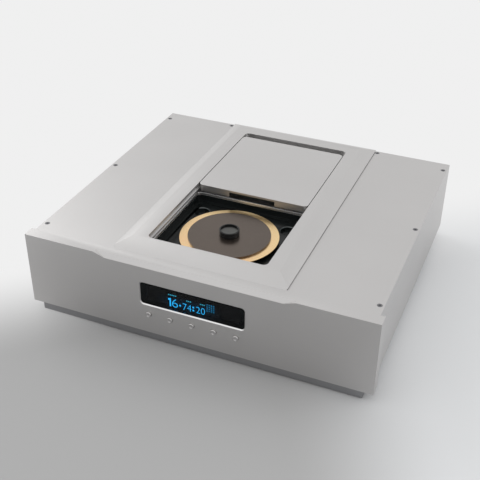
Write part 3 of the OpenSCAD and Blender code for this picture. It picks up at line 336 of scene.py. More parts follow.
# Colours that neither the settings nor the record hold
SCREW_COLOUR = (0.22, 0.22, 0.23)
BAY_COLOUR = (0.75, 0.75, 0.75)
# Colour of the painted highlight on the up-facing chamfer of the display opening
EDGE_HIGHLIGHT_COLOUR = (0.78, 0.78, 0.78)
INSERT_COLOUR = (0.11, 0.11, 0.105)
SOCKET_COLOUR = (0.05, 0.05, 0.052)
TUBE_COLOUR = (0.004, 0.005, 0.006)
SEGMENT_COLOUR = (0.02, 0.05, 0.06)


def satin_metal(name, colour, roughness, metallic=1.0):
    """Blasted and anodised metal: fine grain, faint clouds of handling, no direction."""
    material, shader, place = new_finish(name, Metallic=metallic)
    cloud = noise(place, HANDLING_CLOUDS, 3.0)
    fine = noise(place, BLAST_GRAIN)
    cloud.shade(colour, 0.965, 1.035).into(shader.inputs["Base Color"])
    (roughness - 0.05 + cloud * 0.04 + fine * 0.06).into(shader.inputs["Roughness"])
    bump(shader, fine, 0.12, SKIN_RELIEF)
    return material


def drawn_metal(name, colour, roughness, along=(1.0, 60.0, 60.0)):
    """Metal with fine lines that run one way."""
    material, shader, place = new_finish(name, Metallic=1.0)
    lines = noise(stretched(place, along), DRAWN_LINES, 3.0)
    lines.shade(colour, 0.88, 1.1).into(shader.inputs["Base Color"])
    (roughness - 0.07 + lines * 0.14).into(shader.inputs["Roughness"])
    bump(shader, lines, 0.15, SKIN_RELIEF)
    return material


def turned_metal(name, colour, roughness, pitch):
    """Metal with the fine rings of a lathe about the spindle."""
    material, shader, place = new_finish(name, Metallic=1.0)
    ring = rings(place, pitch)
    cloud = noise(place, LATHE_CLOUDS)
    ring.shade(colour, 0.92, 1.06).into(shader.inputs["Base Color"])
    (roughness - 0.04 + cloud * 0.08).into(shader.inputs["Roughness"])
    bump(shader, ring, 0.2, LATHE_RELIEF)
    return material


def moulded(name, colour, roughness, coat=0.0, shine=0.5):
    """Moulded plastic with a fine spark-eroded skin."""
    material, shader, place = new_finish(
        name, Coat_Weight=coat, Coat_Roughness=0.08, Specular_IOR_Level=shine)
    skin = noise(place, MOULD_SKIN, 3.0)
    cloud = noise(place, MOULD_CLOUDS)
    cloud.shade(colour, 0.9, 1.12).into(shader.inputs["Base Color"])
    (roughness - 0.06 + skin * 0.12).into(shader.inputs["Roughness"])
    bump(shader, skin, 0.1, SKIN_RELIEF)
    return material


def rubber(name, colour):
    """Matt rubber, dusty in patches."""
    material, shader, place = new_finish(name, Specular_IOR_Level=0.3)
    dust = noise(place, RUBBER_DUST, 4.0)
    dust.power(2.0).shade(colour, 1.0, 2.2).into(shader.inputs["Base Color"])
    (0.78 + dust * 0.15).into(shader.inputs["Roughness"])
    bump(shader, dust, 0.2, DUST_RELIEF)
    return material


def gold_disc(name, colour, pitch):
    """Gold layer under clear plastic, with fine tracks and a slow change of tint."""
    material, shader, place = new_finish(name, Metallic=1.0, Coat_Weight=0.4, Coat_Roughness=0.06)
    track = rings(place, pitch)
    slow = noise(place, TINT_CLOUDS, 1.0)
    warm = (colour[0], colour[1] * 0.9, colour[2] * 0.95)
    slow.step(0.35, 0.65).blend(rgba(colour), rgba(warm)).into(shader.inputs["Base Color"])
    (0.22 + track * 0.08).into(shader.inputs["Roughness"])
    bump(shader, track, 0.25, TRACK_RELIEF)
    return material


def lacquered_plate(name, colour, pitch):
    """Dark lacquer over turned metal."""
    material, shader, place = new_finish(name, Metallic=0.85, Coat_Weight=0.1, Coat_Roughness=0.15)
    ring = rings(place, pitch)
    cloud = noise(place, LACQUER_CLOUDS)
    cloud.shade(colour, 0.92, 1.08).into(shader.inputs["Base Color"])
    (0.2 + ring * 0.05 + cloud * 0.05).into(shader.inputs["Roughness"])
    bump(shader, ring, 0.06, TRACK_RELIEF)
    return material


def gloss_black(name, colour):
    """Polished black with the finest hairlines."""
    material, shader, place = new_finish(name, Specular_IOR_Level=0.3)
    hair = noise(stretched(place, (1.0, 9.0, 40.0)), BLACK_HAIRLINES)
    hair.shade(colour, 0.8, 1.3).into(shader.inputs["Base Color"])
    (0.08 + hair * 0.06).into(shader.inputs["Roughness"])
    return material


def tinted_window(name, colour, tint):
    """Dark see-through acrylic."""
    material, shader, place = new_finish(name, Alpha=tint, Specular_IOR_Level=0.15)
    hair = noise(stretched(place, (4.0, 4.0, 30.0)), WINDOW_HAIRLINES)
    hair.shade(colour, 0.8, 1.2).into(shader.inputs["Base Color"])
    (0.05 + hair * 0.04).into(shader.inputs["Roughness"])
    return material


GLOW_SHIFT = 0.006
GLOW_ACROSS = (0.008, 0.045)
GLOW_UP = (0.001, 0.012)
GLOW_SHARE = 0.09


def display_tube(name, colour, lit):
    """Sealed display glass: dark, with the glow of the lit segments about them."""
    low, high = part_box("display_glass")
    middle = (low + high) / 2
    material, shader, place = new_finish(name, Coat_Weight=1.0, Emission_Strength=1.0)
    side, _, up = place.split()
    across = 1.0 - (side - (middle.x - GLOW_SHIFT)).size().step(*GLOW_ACROSS)
    along = 1.0 - (up - (middle.z - GLOW_SHIFT)).size().step(*GLOW_UP)
    (across * along).shade(lit, 0.0, GLOW_SHARE).into(shader.inputs["Emission Color"])
    mesh = noise(stretched(place, (1.0, 1.0, 6.0)), TUBE_MESH)
    mesh.shade(colour, 0.8, 1.2).into(shader.inputs["Base Color"])
    (0.1 + mesh * 0.08).into(shader.inputs["Roughness"])
    return material


def lit_segments(name, colour, strength):
    """Lit display segments."""
    material, shader, place = new_finish(name, Emission_Strength=strength, Roughness=0.5)
    shader.inputs["Base Color"].default_value = rgba(SEGMENT_COLOUR)
    noise(place, SEGMENT_DOTS).shade(colour, 0.8, 1.0).into(shader.inputs["Emission Color"])
    return material


def circuit_board(name, colour):
    """Green lacquered board with traces and pads."""
    material, shader, place = new_finish(name, Coat_Weight=0.3, Coat_Roughness=0.2)
    trace = place.node("ShaderNodeTexBrick", {"Vector": place, "Scale": BOARD_TRACES, "Mortar Size": 0.03,
                                              "Color1": rgba(colour), "Color2": rgba(colour, 0.85),
                                              "Mortar": rgba(colour, 1.5)}, output="Color")
    trace.into(shader.inputs["Base Color"])
    (0.35 + noise(place, BOARD_CLOUDS) * 0.15).into(shader.inputs["Roughness"])
    return material


def wound_copper(name, colour):
    """Lacquered wire laid turn by turn."""
    material, shader, place = new_finish(name, Metallic=0.7, Coat_Weight=0.4, Coat_Roughness=0.15)
    turns = noise(stretched(place, (1.0, 1.0, 0.2)), WIRE_TURNS)
    turns.shade(colour, 0.55, 1.25).into(shader.inputs["Base Color"])
    (0.3 + turns * 0.2).into(shader.inputs["Roughness"])
    bump(shader, turns, 0.4, WIRE_RELIEF)
    return material


def flat_cable(name, colour):
    """Ribbed flat cable."""
    material, shader, place = new_finish(name)
    rib = place.node("ShaderNodeTexWave", {"Vector": place, "Scale": wave_scale(RIB_PITCH)},
                     output="Fac", wave_type="BANDS", bands_direction="X")
    rib.shade(colour, 0.8, 1.05).into(shader.inputs["Base Color"])
    (0.4 + rib * 0.1).into(shader.inputs["Roughness"])
    bump(shader, rib, 0.4, RIB_RELIEF)
    return material


def coated_lens(name, colour):
    """Small coated lens."""
    material, shader, place = new_finish(name, Coat_Weight=1.0, Coat_Roughness=0.02, IOR=1.55)
    film = noise(place, LENS_FILM)
    film.shade(colour, 0.25, 0.4).into(shader.inputs["Base Color"])
    (0.03 + film * 0.04).into(shader.inputs["Roughness"])
    return material


FINISH_NAME = "finish_"


def make_finish(slot):
    """The finish of one material slot."""
    case = bpy.context.scene.transport_case
    disc = bpy.context.scene.transport_disc
    display = bpy.context.scene.transport_display
    colour = next(row["base_color"][:3] for row in frame["record"]["materials"] if row["slot"] == slot)
    name = FINISH_NAME + slot
    makers = {
        "case_panel": lambda: satin_metal(name, case.panel_colour, case.panel_roughness),
        # The plinth's darker colour is painted shade from the front panel's overhang
        "plinth": lambda: satin_metal(name, case.plinth_shade_colour, 0.5),
        "rubber_black": lambda: rubber(name, colour),
        "frame_metal": lambda: drawn_metal(name, colour, 0.45),
        "screw_steel": lambda: satin_metal(name, SCREW_COLOUR, 0.35),
        "slide_plastic": lambda: moulded(name, colour, 0.4),
        "rail_steel": lambda: drawn_metal(name, colour, 0.3, along=(60.0, 1.0, 60.0)),
        "bay_metal": lambda: satin_metal(name, BAY_COLOUR, 0.4),
        "rim_metal": lambda: satin_metal(name, colour, 0.16),
        "well_plastic": lambda: moulded(name, disc.well_colour, 0.24, shine=0.3),
        "disc_gold": lambda: gold_disc(name, disc.disc_colour, disc.groove_pitch),
        "clamp_dark": lambda: lacquered_plate(name, disc.clamp_colour, disc.groove_pitch),
        "knob_gloss": lambda: gloss_black(name, colour),
        "insert_metal": lambda: turned_metal(name, INSERT_COLOUR, 0.3, disc.groove_pitch),
        "hub_plastic": lambda: moulded(name, colour, 0.45),
        "motor_can": lambda: satin_metal(name, colour, 0.35),
        "sled_plastic": lambda: moulded(name, colour, 0.5),
        "lens_glass": lambda: coated_lens(name, colour),
        "gear_plastic": lambda: moulded(name, colour, 0.45),
        "pinion_brass": lambda: drawn_metal(name, colour, 0.3),
        "window_black": lambda: tinted_window(name, colour, display.tint),
        "display_grey": lambda: display_tube(name, TUBE_COLOUR, display.lit_colour),
        "board_green": lambda: circuit_board(name, colour),
        "button_metal": lambda: satin_metal(name, case.panel_colour, 0.34),
        "winding": lambda: wound_copper(name, colour),
        "capacitor_sleeve": lambda: moulded(name, colour, 0.25, coat=0.4),
        "ribbon_plastic": lambda: flat_cable(name, colour),
        "socket_black": lambda: moulded(name, colour, 0.45),
        "contact_metal": lambda: drawn_metal(name, colour, 0.3),
        "coax_gold": lambda: satin_metal(name, colour, 0.22),
        "socket_metal": lambda: satin_metal(name, SOCKET_COLOUR, 0.4, metallic=0.5),
    }
    return makers[slot]()


def finish_of(slot):
    """The finish of a slot, made once."""
    return bpy.data.materials.get(FINISH_NAME + slot) or make_finish(slot)


# Forms

MERGE = 0.000004
NEAR = MERGE * 10
FACING = 0.99
EDGE_STEPS = 2
FLAT_ANGLE = math.radians(0.4)
SHARP_ANGLE = math.radians(28)


def new_object(name, mesh):
    """A new object at the origin."""
    made = bpy.data.objects.new(name, mesh)
    bpy.context.scene.collection.objects.link(made)
    return made


def baked(source, name):
    """A plain mesh of an object with its modifiers applied, in place of it."""
    graph = bpy.context.evaluated_depsgraph_get()
    mesh = bpy.data.meshes.new_from_object(source.evaluated_get(graph), preserve_all_data_layers=True,
                                           depsgraph=graph)
    source.modifiers.clear()
    old = source.data
    source.data = mesh
    mesh.name = name
    source.name = name
    if old.users == 0:
        bpy.data.batch_remove([old])
    return source


def stand_for(piece, *nodes):
    """A finished piece rides where its nodes ride and stands for them."""
    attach(piece, BODY_OF[nodes[0]])
    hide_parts(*nodes)
    return piece


MOUTH_STEPS = 4


def pocket_mouths(form):
    """The edges round the mouths of the deepest round pockets of a tub."""
    upward = [(face, face.calc_center_median()) for face in form.faces if face.normal.z > FACING]
    deepest = min(middle.z for _, middle in upward) + MERGE
    found = []
    for face, middle in upward:
        if middle.z < deepest:
            radius = max((vert.co - middle).length for vert in face.verts)
            found += [edge for edge in form.edges
                      if all(abs((vert.co - middle).xy.length - radius) < NEAR and vert.co.z > deepest
                             for vert in edge.verts)]
    return found


def soft_copy(node, edge, mouth=0.0):
    """A merged copy of a node with its edges and its pockets' mouths rounded, standing for the node."""
    mesh = frame["nodes"][node].data.copy()
    form = bmesh.new()
    form.from_mesh(mesh)
    bmesh.ops.remove_doubles(form, verts=form.verts, dist=MERGE)
    bmesh.ops.dissolve_limit(form, angle_limit=FLAT_ANGLE, verts=form.verts, edges=form.edges)
    if mouth:
        made = bmesh.ops.bevel(form, geom=pocket_mouths(form), offset=mouth, offset_type="OFFSET",
                               segments=MOUTH_STEPS, profile=0.5, affect="EDGES")
        rounded = set(made["faces"])
        for line in {line for face in rounded for line in face.edges}:
            line.smooth = all(face in rounded for face in line.link_faces)
    for face in form.faces:
        face.smooth = True
    form.to_mesh(mesh)
    form.free()
    if "custom_normal" in mesh.attributes:
        mesh.attributes.remove(mesh.attributes["custom_normal"])
    mesh.materials.clear()
    mesh.materials.append(finish_of(SLOT_OF[node]))
    piece = new_object(node + "_finished", mesh)
    soften(piece, edge)
    return stand_for(baked(piece, node + "_finished"), node)


def repaint(node):
    """Gives a node that keeps its solid the finish of its slot."""
    kept = frame["nodes"][node]
    if not kept.material_slots:
        kept.data.materials.append(None)
    for holder in kept.material_slots:
        holder.material = finish_of(SLOT_OF[node])


# Node trees for what repeats

def tree_input(tree, name, kind, value=None):
    """A named input of a geometry tree."""
    made = tree.interface.new_socket(name=name, in_out="INPUT", socket_type=kind)
    if value is not None:
        made.default_value = value
    return made


def new_tree(name, sizes):
    """A geometry tree with a mesh in, a mesh out and named sizes; gives the tree, its wire and inputs."""
    tree = bpy.data.node_groups.new(name, "GeometryNodeTree")
    tree_input(tree, "Places", "NodeSocketGeometry")
    for size, value in sizes.items():
        tree_input(tree, size, "NodeSocketFloat", value)
    tree_input(tree, "Finish", "NodeSocketMaterial")
    tree.interface.new_socket(name="Mesh", in_out="OUTPUT", socket_type="NodeSocketGeometry")
    source = tree.nodes.new("NodeGroupInput")
    given = {socket.name: Wire(tree, socket) for socket in source.outputs if socket.name}
    return tree, Wire(tree), given


def close_tree(wire, instances, finish):
    """Realizes the instances, sets their finish and ends the tree."""
    real = wire.node("GeometryNodeRealizeInstances", {"Geometry": instances})
    painted = wire.node("GeometryNodeSetMaterial", {"Geometry": real, "Material": finish})
    end = wire.tree.nodes.new("NodeGroupOutput")
    painted.into(end.inputs["Mesh"])


def soften(piece, edge):
    """Rounds the sharp edges of a piece."""
    round_off = piece.modifiers.new("Edges", "BEVEL")
    round_off.width = edge
    round_off.segments = EDGE_STEPS
    round_off.limit_method = "ANGLE"
    round_off.angle_limit = SHARP_ANGLE
    round_off.harden_normals = True
    round_off.use_clamp_overlap = True


def grown(name, places, tree, values, edge=0.0):
    """The plain mesh that a tree makes at some places, with its named inputs set and its edges rounded."""
    holder = new_object(name, places)
    growth = holder.modifiers.new("Growth", "NODES")
    growth.node_group = tree
    for item in tree.interface.items_tree:
        if item.item_type == "SOCKET" and item.in_out == "INPUT" and item.name in values:
            growth[item.identifier] = values[item.name]
    if edge:
        soften(holder, edge)
    return baked(holder, name)


def rod(wire, sides, radius, length):
    """A cylinder or prism about Z, centred on the origin."""
    return wire.node("GeometryNodeMeshCylinder", {"Vertices": sides, "Radius": radius, "Depth": length})


def lifted(wire, geometry, height):
    """Moves geometry along Z."""
    offset = wire.node("ShaderNodeCombineXYZ", {"Z": height})
    return wire.node("GeometryNodeTransform", {"Geometry": geometry, "Translation": offset})


SHANK_START = 0.8
SOCKET_SHARE = (0.55, 0.6)
BROKEN_EDGE = 0.1
HEAD_SHARE = 0.98
LEAST_HEAD = 0.0008
HEAD_SIDES = 32
SHANK_SIDES = 24
SOCKET_SIDES = 6


def screw_tree():
    """A socket-head screw at every point, standing along the point's direction."""
    sizes = {"Head radius": 0.0029, "Head height": 0.003, "Socket radius": 0.0016, "Socket depth": 0.0016,
             "Shank radius": 0.0014, "Length": 0.01}
    tree, wire, given = new_tree("Socket screws", sizes)
    height = given["Head height"]
    head = lifted(wire, rod(wire, HEAD_SIDES, given["Head radius"], height), height * -0.5)
    shank_top = height * SHANK_START
    shank_length = given["Length"] - shank_top
    shank = rod(wire, SHANK_SIDES, given["Shank radius"], shank_length)
    shank = lifted(wire, shank, shank_length * -0.5 - shank_top)
    socket = rod(wire, SOCKET_SIDES, given["Socket radius"], given["Socket depth"] * 2.0)
    solid = wire.node("GeometryNodeMeshBoolean", {"Mesh 2": head}, operation="UNION")
    shank.into(solid.socket.node.inputs["Mesh 2"])
    cut = wire.node("GeometryNodeMeshBoolean", {"Mesh 1": solid, "Mesh 2": socket}, operation="DIFFERENCE")
    facing = wire.node("GeometryNodeInputNamedAttribute", {"Name": "facing"}, data_type="FLOAT_VECTOR")
    turn = wire.node("FunctionNodeAlignRotationToVector", {"Vector": facing}, axis="Z")
    made = wire.node("GeometryNodeInstanceOnPoints",
                     {"Points": given["Places"], "Instance": cut, "Rotation": turn})
    close_tree(wire, made, given["Finish"])
    return tree


def islands(node):
    """The separate solids of a node, each as a list of points."""
    form = bmesh.new()
    form.from_mesh(frame["nodes"][node].data)
    bmesh.ops.remove_doubles(form, verts=form.verts, dist=MERGE)
    waiting = set(form.verts)
    found = []
    while waiting:
        start = min(waiting, key=lambda v: v.index)
        front = [start]
        waiting.discard(start)
        points = []
        while front:
            vert = front.pop()
            points.append(vert.co.copy())
            for link in vert.link_edges:
                other = link.other_vert(vert)
                if other in waiting:
                    waiting.discard(other)
                    front.append(other)
        found.append(points)
    form.free()
    return found


def screw_place(points):
    """Head centre, outward direction, head radius, head height, shank radius and length of one screw."""
    low = Vector([min(p[i] for p in points) for i in range(3)])
    high = Vector([max(p[i] for p in points) for i in range(3)])
    span = high - low
    axis = max(range(3), key=lambda i: span[i])
    across = [i for i in range(3) if i != axis]
    middle = (low + high) / 2
    reach = [(math.dist([p[i] for i in across], [middle[i] for i in across]), p[axis]) for p in points]
    head_radius = max(r for r, _ in reach)
    ends = [max(r for r, at in reach if abs(at - end) < NEAR) for end in (low[axis], high[axis])]
    sign = 1 if ends[1] > ends[0] else -1
    top = high[axis] if sign > 0 else low[axis]
    shank_radius = min(ends)
    wide = [abs(at - top) for r, at in reach if r > head_radius * HEAD_SHARE]
    centre = middle.copy()
    centre[axis] = top
    facing = Vector((0.0, 0.0, 0.0))
    facing[axis] = sign
    return centre, facing, head_radius, max(max(wide), LEAST_HEAD), shank_radius, span[axis]


def screws(node, tree):
    """All the screws of one node as one piece, grown from their places in the node."""
    groups = {}
    for points in islands(node):
        centre, facing, *sizes = screw_place(points)
        groups.setdefault(tuple(round(size, 5) for size in sizes), []).append((centre, facing))
    parts = []
    for number, (sizes, places) in enumerate(sorted(groups.items())):
        mesh = bpy.data.meshes.new("places")
        mesh.from_pydata([centre for centre, _ in places], [], [])
        facing = mesh.attributes.new("facing", "FLOAT_VECTOR", "POINT")
        for item, (_, direction) in zip(facing.data, places):
            item.vector = direction
        head_radius, head_height, shank_radius, length = sizes
        values = {"Head radius": head_radius, "Head height": head_height, "Shank radius": shank_radius,
                  "Length": length, "Socket radius": head_radius * SOCKET_SHARE[0],
                  "Socket depth": head_height * SOCKET_SHARE[1], "Finish": finish_of(SLOT_OF[node])}
        parts.append(grown(f"{node}_{number}", mesh, tree, values, head_radius * BROKEN_EDGE))
    return stand_for(joined(node + "_finished", parts, finish_of(SLOT_OF[node])), node)


def joined(name, parts, finish):
    """Several plain pieces as one."""
    form = bmesh.new()
    for part in parts:
        form.from_mesh(part.data)
        bpy.data.objects.remove(part)
    mesh = bpy.data.meshes.new(name)
    form.to_mesh(mesh)
    form.free()
    mesh.materials.append(finish)
    return new_object(name, mesh)


def bar_tree():
    """A small lit bar at every point."""
    tree, wire, given = new_tree("Display bars", {"Width": 0.001, "Height": 0.001, "Depth": 0.0001})
    size = wire.node("ShaderNodeCombineXYZ", {"X": given["Width"], "Y": given["Depth"], "Z": given["Height"]})
    bar = wire.node("GeometryNodeMeshCube", {"Size": size})
    made = wire.node("GeometryNodeInstanceOnPoints", {"Points": given["Places"], "Instance": bar})
    close_tree(wire, made, given["Finish"])
    return tree


# Pieces

WINDOW_MARGIN = 0.003
# Slants of the faces that get the painted highlight
SLANT = (0.6, 0.8)


def paint_edge_highlights(piece, low, high):
    """Lighter, glossier metal painted as a highlight on the faces of a piece that slant to the front and up
    inside a box.
    """
    piece.data.materials.append(satin_metal("finish_cut_edge", EDGE_HIGHLIGHT_COLOUR, 0.25))
    for face in piece.data.polygons:
        inside = all(low[i] <= face.center[i] <= high[i] for i in range(3))
        if inside and face.normal.z > SLANT[0] and SLANT[0] < -face.normal.y < SLANT[1]:
            face.material_index = 1


class TRANSPORT_OT_case(bpy.types.Operator):
    """Front, rear, sides, cover, raised surround and plinth with broken edges and satin metal"""

    bl_idname = "transport.case"
    bl_label = "Case panels"

    def execute(self, context):
        case = context.scene.transport_case
        for node in ("rear_panel", "left_side_panel", "right_side_panel", "top_cover", "base_plate"):
            soft_copy(node, case.panel_edge)
        soft_copy("lid_surround", case.small_edge)
        soft_copy("foot_pads", case.small_edge)
        low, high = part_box("display_window")
        margin = Vector((WINDOW_MARGIN, WINDOW_MARGIN, WINDOW_MARGIN))
        # Painted highlight on the up-facing chamfer of the front panel's display opening
        paint_edge_highlights(soft_copy("front_panel", case.panel_edge), low - margin, high + margin)
        return {"FINISHED"}


class TRANSPORT_OT_screws(bpy.types.Operator):
    """Socket-head screws in the cover, the surround, the posts and the deck"""

    bl_idname = "transport.screws"
    bl_label = "Screws"

    def execute(self, context):
        tree = screw_tree()
        for node in ("cover_screws", "surround_screws", "post_screws", "deck_screws"):
            screws(node, tree)
        return {"FINISHED"}


class TRANSPORT_OT_lid(bpy.types.Operator):
    """Sliding lid, its pads, the rails it runs on and its bumpers"""

    bl_idname = "transport.lid"
    bl_label = "Sliding lid"

    def execute(self, context):
        case = context.scene.transport_case
        soft_copy("lid", case.panel_edge)
        for node in ("left_lid_rail", "right_lid_rail", "lid_slide_pads", "lid_bumpers"):
            soft_copy(node, case.small_edge)
        return {"FINISHED"}


# Faces round the pocket mouths that get the painted highlight, and how much lighter it is
MOUTH_SLANT = (0.1, 0.97)
MOUTH_DEEPEST = 0.002
MOUTH_HIGHLIGHT_GAIN = 7


def paint_mouth_highlights(piece, colour):
    """Shinier plastic on the rounded mouths of the well's pockets, made lighter as a painted highlight."""
    # Painted highlight: the mouths' colour is several times the well's colour
    highlight_colour = [channel * MOUTH_HIGHLIGHT_GAIN for channel in colour]
    piece.data.materials.append(moulded("finish_pocket_mouth", highlight_colour, 0.2, shine=1.0))
    level = [face for face in piece.data.polygons if face.normal.z > FACING]
    ground = max(level, key=lambda face: face.area)
    for face in piece.data.polygons:
        below = ground.center.z - face.center.z
        if 0.0 < below < MOUTH_DEEPEST and MOUTH_SLANT[0] < face.normal.z < MOUTH_SLANT[1]:
            face.material_index = 1


class TRANSPORT_OT_well(bpy.types.Operator):
    """Floor of the lid's bay, the bright rim and the moulded disc well"""

    bl_idname = "transport.well"
    bl_label = "Disc well"

    def execute(self, context):
        case = context.scene.transport_case
        for node in ("bay_floor", "well_rim"):
            soft_copy(node, case.small_edge)
        well = soft_copy("disc_well", case.panel_edge, mouth=case.pocket_mouth)
        # Painted highlight on the rims of the pocket mouths
        paint_mouth_highlights(well, context.scene.transport_disc.well_colour)
        return {"FINISHED"}


class TRANSPORT_OT_disc(bpy.types.Operator):
    """Disc, clamp plate, clamp knob, its insert and the turntable hub"""

    bl_idname = "transport.disc"
    bl_label = "Disc and clamp"

    def execute(self, context):
        case = context.scene.transport_case
        for node in ("disc", "clamp_plate", "clamp_knob", "knob_insert", "turntable_hub"):
            soft_copy(node, case.small_edge)
        return {"FINISHED"}


FIGURE_BOXES = {
    "track_tens_figure": ((-0.0296, -0.0279), (0.0541, 0.0656)),
    "track_figure": ((-0.0264, -0.0193), (0.0541, 0.0656)),
    "minute_figures": ((-0.0129, -0.0024), (0.0539, 0.0630)),
    "second_figures": ((0.0037, 0.0145), (0.0543, 0.0633)),
}


class TRANSPORT_OT_display(bpy.types.Operator):
    """Tinted window, display glass and the lit figures on it"""

    bl_idname = "transport.display"
    bl_label = "Display"

    def execute(self, context):
        display = context.scene.transport_display
        soft_copy("display_window", context.scene.transport_case.small_edge)
        repaint("display_glass")
        lit = lit_segments("finish_lit_segments", display.lit_colour, display.lit_strength)
        dim = lit_segments("finish_dim_segments", display.mark_colour, display.dim_strength)
        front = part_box("display_glass")[0].y
        figures = {"track_tens_figure": display.track[0], "track_figure": display.track[1],
                   "minute_figures": display.minutes, "second_figures": display.seconds}
        for name, words in figures.items():
            across, upright = FIGURE_BOXES[name]
            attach(figure(name, words, across, upright, front, lit), "case_body")
        display_bars(front, lit, dim)
        return {"FINISHED"}


FIGURE_DEPTH = 0.00012
FIGURE_WEIGHT = -0.02
FIGURE_SOLID = 0.01


def figure(name, words, across, upright, front, finish):
    """Lit figures in a box on the display glass, as a thin solid."""
    curve = bpy.data.curves.new(name, "FONT")
    curve.body = words
    curve.extrude = FIGURE_SOLID
    curve.offset = FIGURE_WEIGHT
    text = new_object(name, curve)
    graph = bpy.context.evaluated_depsgraph_get()
    mesh = bpy.data.meshes.new_from_object(text.evaluated_get(graph))
    bpy.data.objects.remove(text)
    low = Vector([min(v.co[i] for v in mesh.vertices) for i in range(3)])
    high = Vector([max(v.co[i] for v in mesh.vertices) for i in range(3)])
    span = high - low
    for vert in mesh.vertices:
        share = [(vert.co[i] - low[i]) / span[i] for i in range(3)]
        vert.co = (across[0] + share[0] * (across[1] - across[0]), front - share[2] * FIGURE_DEPTH,
                   upright[0] + share[1] * (upright[1] - upright[0]))
    form = bmesh.new()
    form.from_mesh(mesh)
    bmesh.ops.remove_doubles(form, verts=form.verts, dist=MERGE)
    bmesh.ops.recalc_face_normals(form, faces=form.faces)
    form.to_mesh(mesh)
    form.free()
    mesh.materials.clear()
    mesh.materials.append(finish)
    return new_object(name, mesh)


DOT_SIZE = (0.0019, 0.0021)
DOTS = ((-0.0163, 0.0586), (0.0002, 0.0566), (0.0002, 0.0608), (-0.0304, 0.0639))
GRID_SIZE = (0.0008, 0.0008)
GRID_CORNER = (0.0174, 0.0613)
GRID_PITCH = (0.0027, 0.0028)
GRID_COUNT = 4
MARK_SIZE = (0.0013, 0.0011)
MARK_PITCH = 0.0022
MARK_ROWS = ((-0.0304, 0.0702, 5), (-0.0076, 0.0676, 3), (0.0094, 0.0680, 3))


def display_bars(front, lit, dim):
    """Point, colon, flag of the one, track grid and small marks above the figures, as lit bars."""
    tree = bar_tree()
    middle = front - FIGURE_DEPTH / 2
    grid = [(GRID_CORNER[0] + GRID_PITCH[0] * column, GRID_CORNER[1] + GRID_PITCH[1] * row)
            for column in range(GRID_COUNT) for row in range(GRID_COUNT)]
    marks = [(x + MARK_PITCH * number, z) for x, z, count in MARK_ROWS for number in range(count)]
    kinds = {
        "display_dots": (lit, *DOT_SIZE, DOTS),
        "display_grid": (lit, *GRID_SIZE, grid),
        "display_marks": (dim, *MARK_SIZE, marks),
    }
    for name, (finish, width, height, points) in kinds.items():
        places = bpy.data.meshes.new(name)
        places.from_pydata([(x, middle, z) for x, z in points], [], [])
        values = {"Width": width, "Height": height, "Depth": FIGURE_DEPTH, "Finish": finish}
        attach(grown(name, places, tree, values), "case_body")


class TRANSPORT_OT_buttons(bpy.types.Operator):
    """Five round push buttons"""

    bl_idname = "transport.buttons"
    bl_label = "Buttons"

    def execute(self, context):
        for node in BUTTONS:
            dished(soft_copy(node, context.scene.transport_case.small_edge))
        return {"FINISHED"}


DISH_STEPS = 5
DISH_DEPTH = 0.0006
DISH_MIDDLE = 0.1


def dished(piece):
    """Hollows the flat front of a round button."""
    form = bmesh.new()
    form.from_mesh(piece.data)
    front = max((face for face in form.faces if face.normal.y < -FACING), key=lambda face: face.calc_area())
    middle = front.calc_center_median()
    radius = max((vert.co - middle).length for vert in front.verts)
    for step in range(DISH_STEPS):
        outer = 1 - step / DISH_STEPS
        inner = max(outer - 1 / DISH_STEPS, DISH_MIDDLE)
        drop = DISH_DEPTH * (outer ** 2 - inner ** 2)
        bmesh.ops.inset_individual(form, faces=[front], thickness=radius * (outer - inner), depth=-drop)
    form.to_mesh(piece.data)
    form.free()


class TRANSPORT_OT_sockets(bpy.types.Operator):
    """Mains inlet, rocker switch and output sockets on the rear"""

    bl_idname = "transport.sockets"
    bl_label = "Rear sockets"

    def execute(self, context):
        for node in ("mains_inlet", "power_rocker", "coax_socket", "balanced_socket", "socket_pins"):
            soft_copy(node, context.scene.transport_case.small_edge)
        return {"FINISHED"}


class TRANSPORT_OT_inside(bpy.types.Operator):
    """Finishes for the works inside the case, whose solids stay as they are"""

    bl_idname = "transport.inside"
    bl_label = "Works inside"

    def execute(self, context):
        for node, kept in frame["nodes"].items():
            if not kept.hide_render:
                repaint(node)
        return {"FINISHED"}


# Stage

SOFTBOXES = {
    "left_softbox": ((-1.75, 0.75, 1.35), 1.3),
    "right_softbox": ((1.75, 0.35, 1.3), 1.2),
    "front_softbox": ((-0.75, -1.1, 1.75), 1.2),
}
LAMP_AIM = Vector((0.0, 0.0, 0.1))
SENSOR_WIDTH = 36.0
NEAREST_SEEN = 0.01


class TRANSPORT_OT_stage(bpy.types.Operator):
    """Floor, sky light, softboxes and camera"""

    bl_idname = "transport.stage"
    bl_label = "Stage"

    def execute(self, context):
        stage = context.scene.transport_stage
        floor(stage)
        sky(stage)
        powers = {"left_softbox": stage.softbox_power, "right_softbox": stage.fill_power,
                  "front_softbox": stage.front_power}
        for name, power in powers.items():
            place, side = SOFTBOXES[name]
            softbox(name, place, side, power)
        camera(stage)
        context.scene.view_settings.view_transform = "Standard"
        return {"FINISHED"}


def pale_rays(tree):
    """1 for camera, glossy and transmission rays."""
    path = tree.nodes.new("ShaderNodeLightPath")
    rays = [Wire(tree, path.outputs[name])
            for name in ("Is Camera Ray", "Is Glossy Ray", "Is Transmission Ray")]
    return rays[0].maths("MINIMUM", rays[0] + rays[1] + rays[2], 1.0)


FLOOR_HALF = 8.0
HORIZON_POINT = (-0.25, -0.213)
HORIZON_SIDE = (-0.668, 0.745)
HORIZON_BLEND = (-0.095, 0.088)
# Where the floor's painted shade at the front left fades out
FLOOR_SPREAD = (0.0, 0.2)
FLOOR_SLANT = 0.5
FLOOR_REACH = (0.46, 0.75)


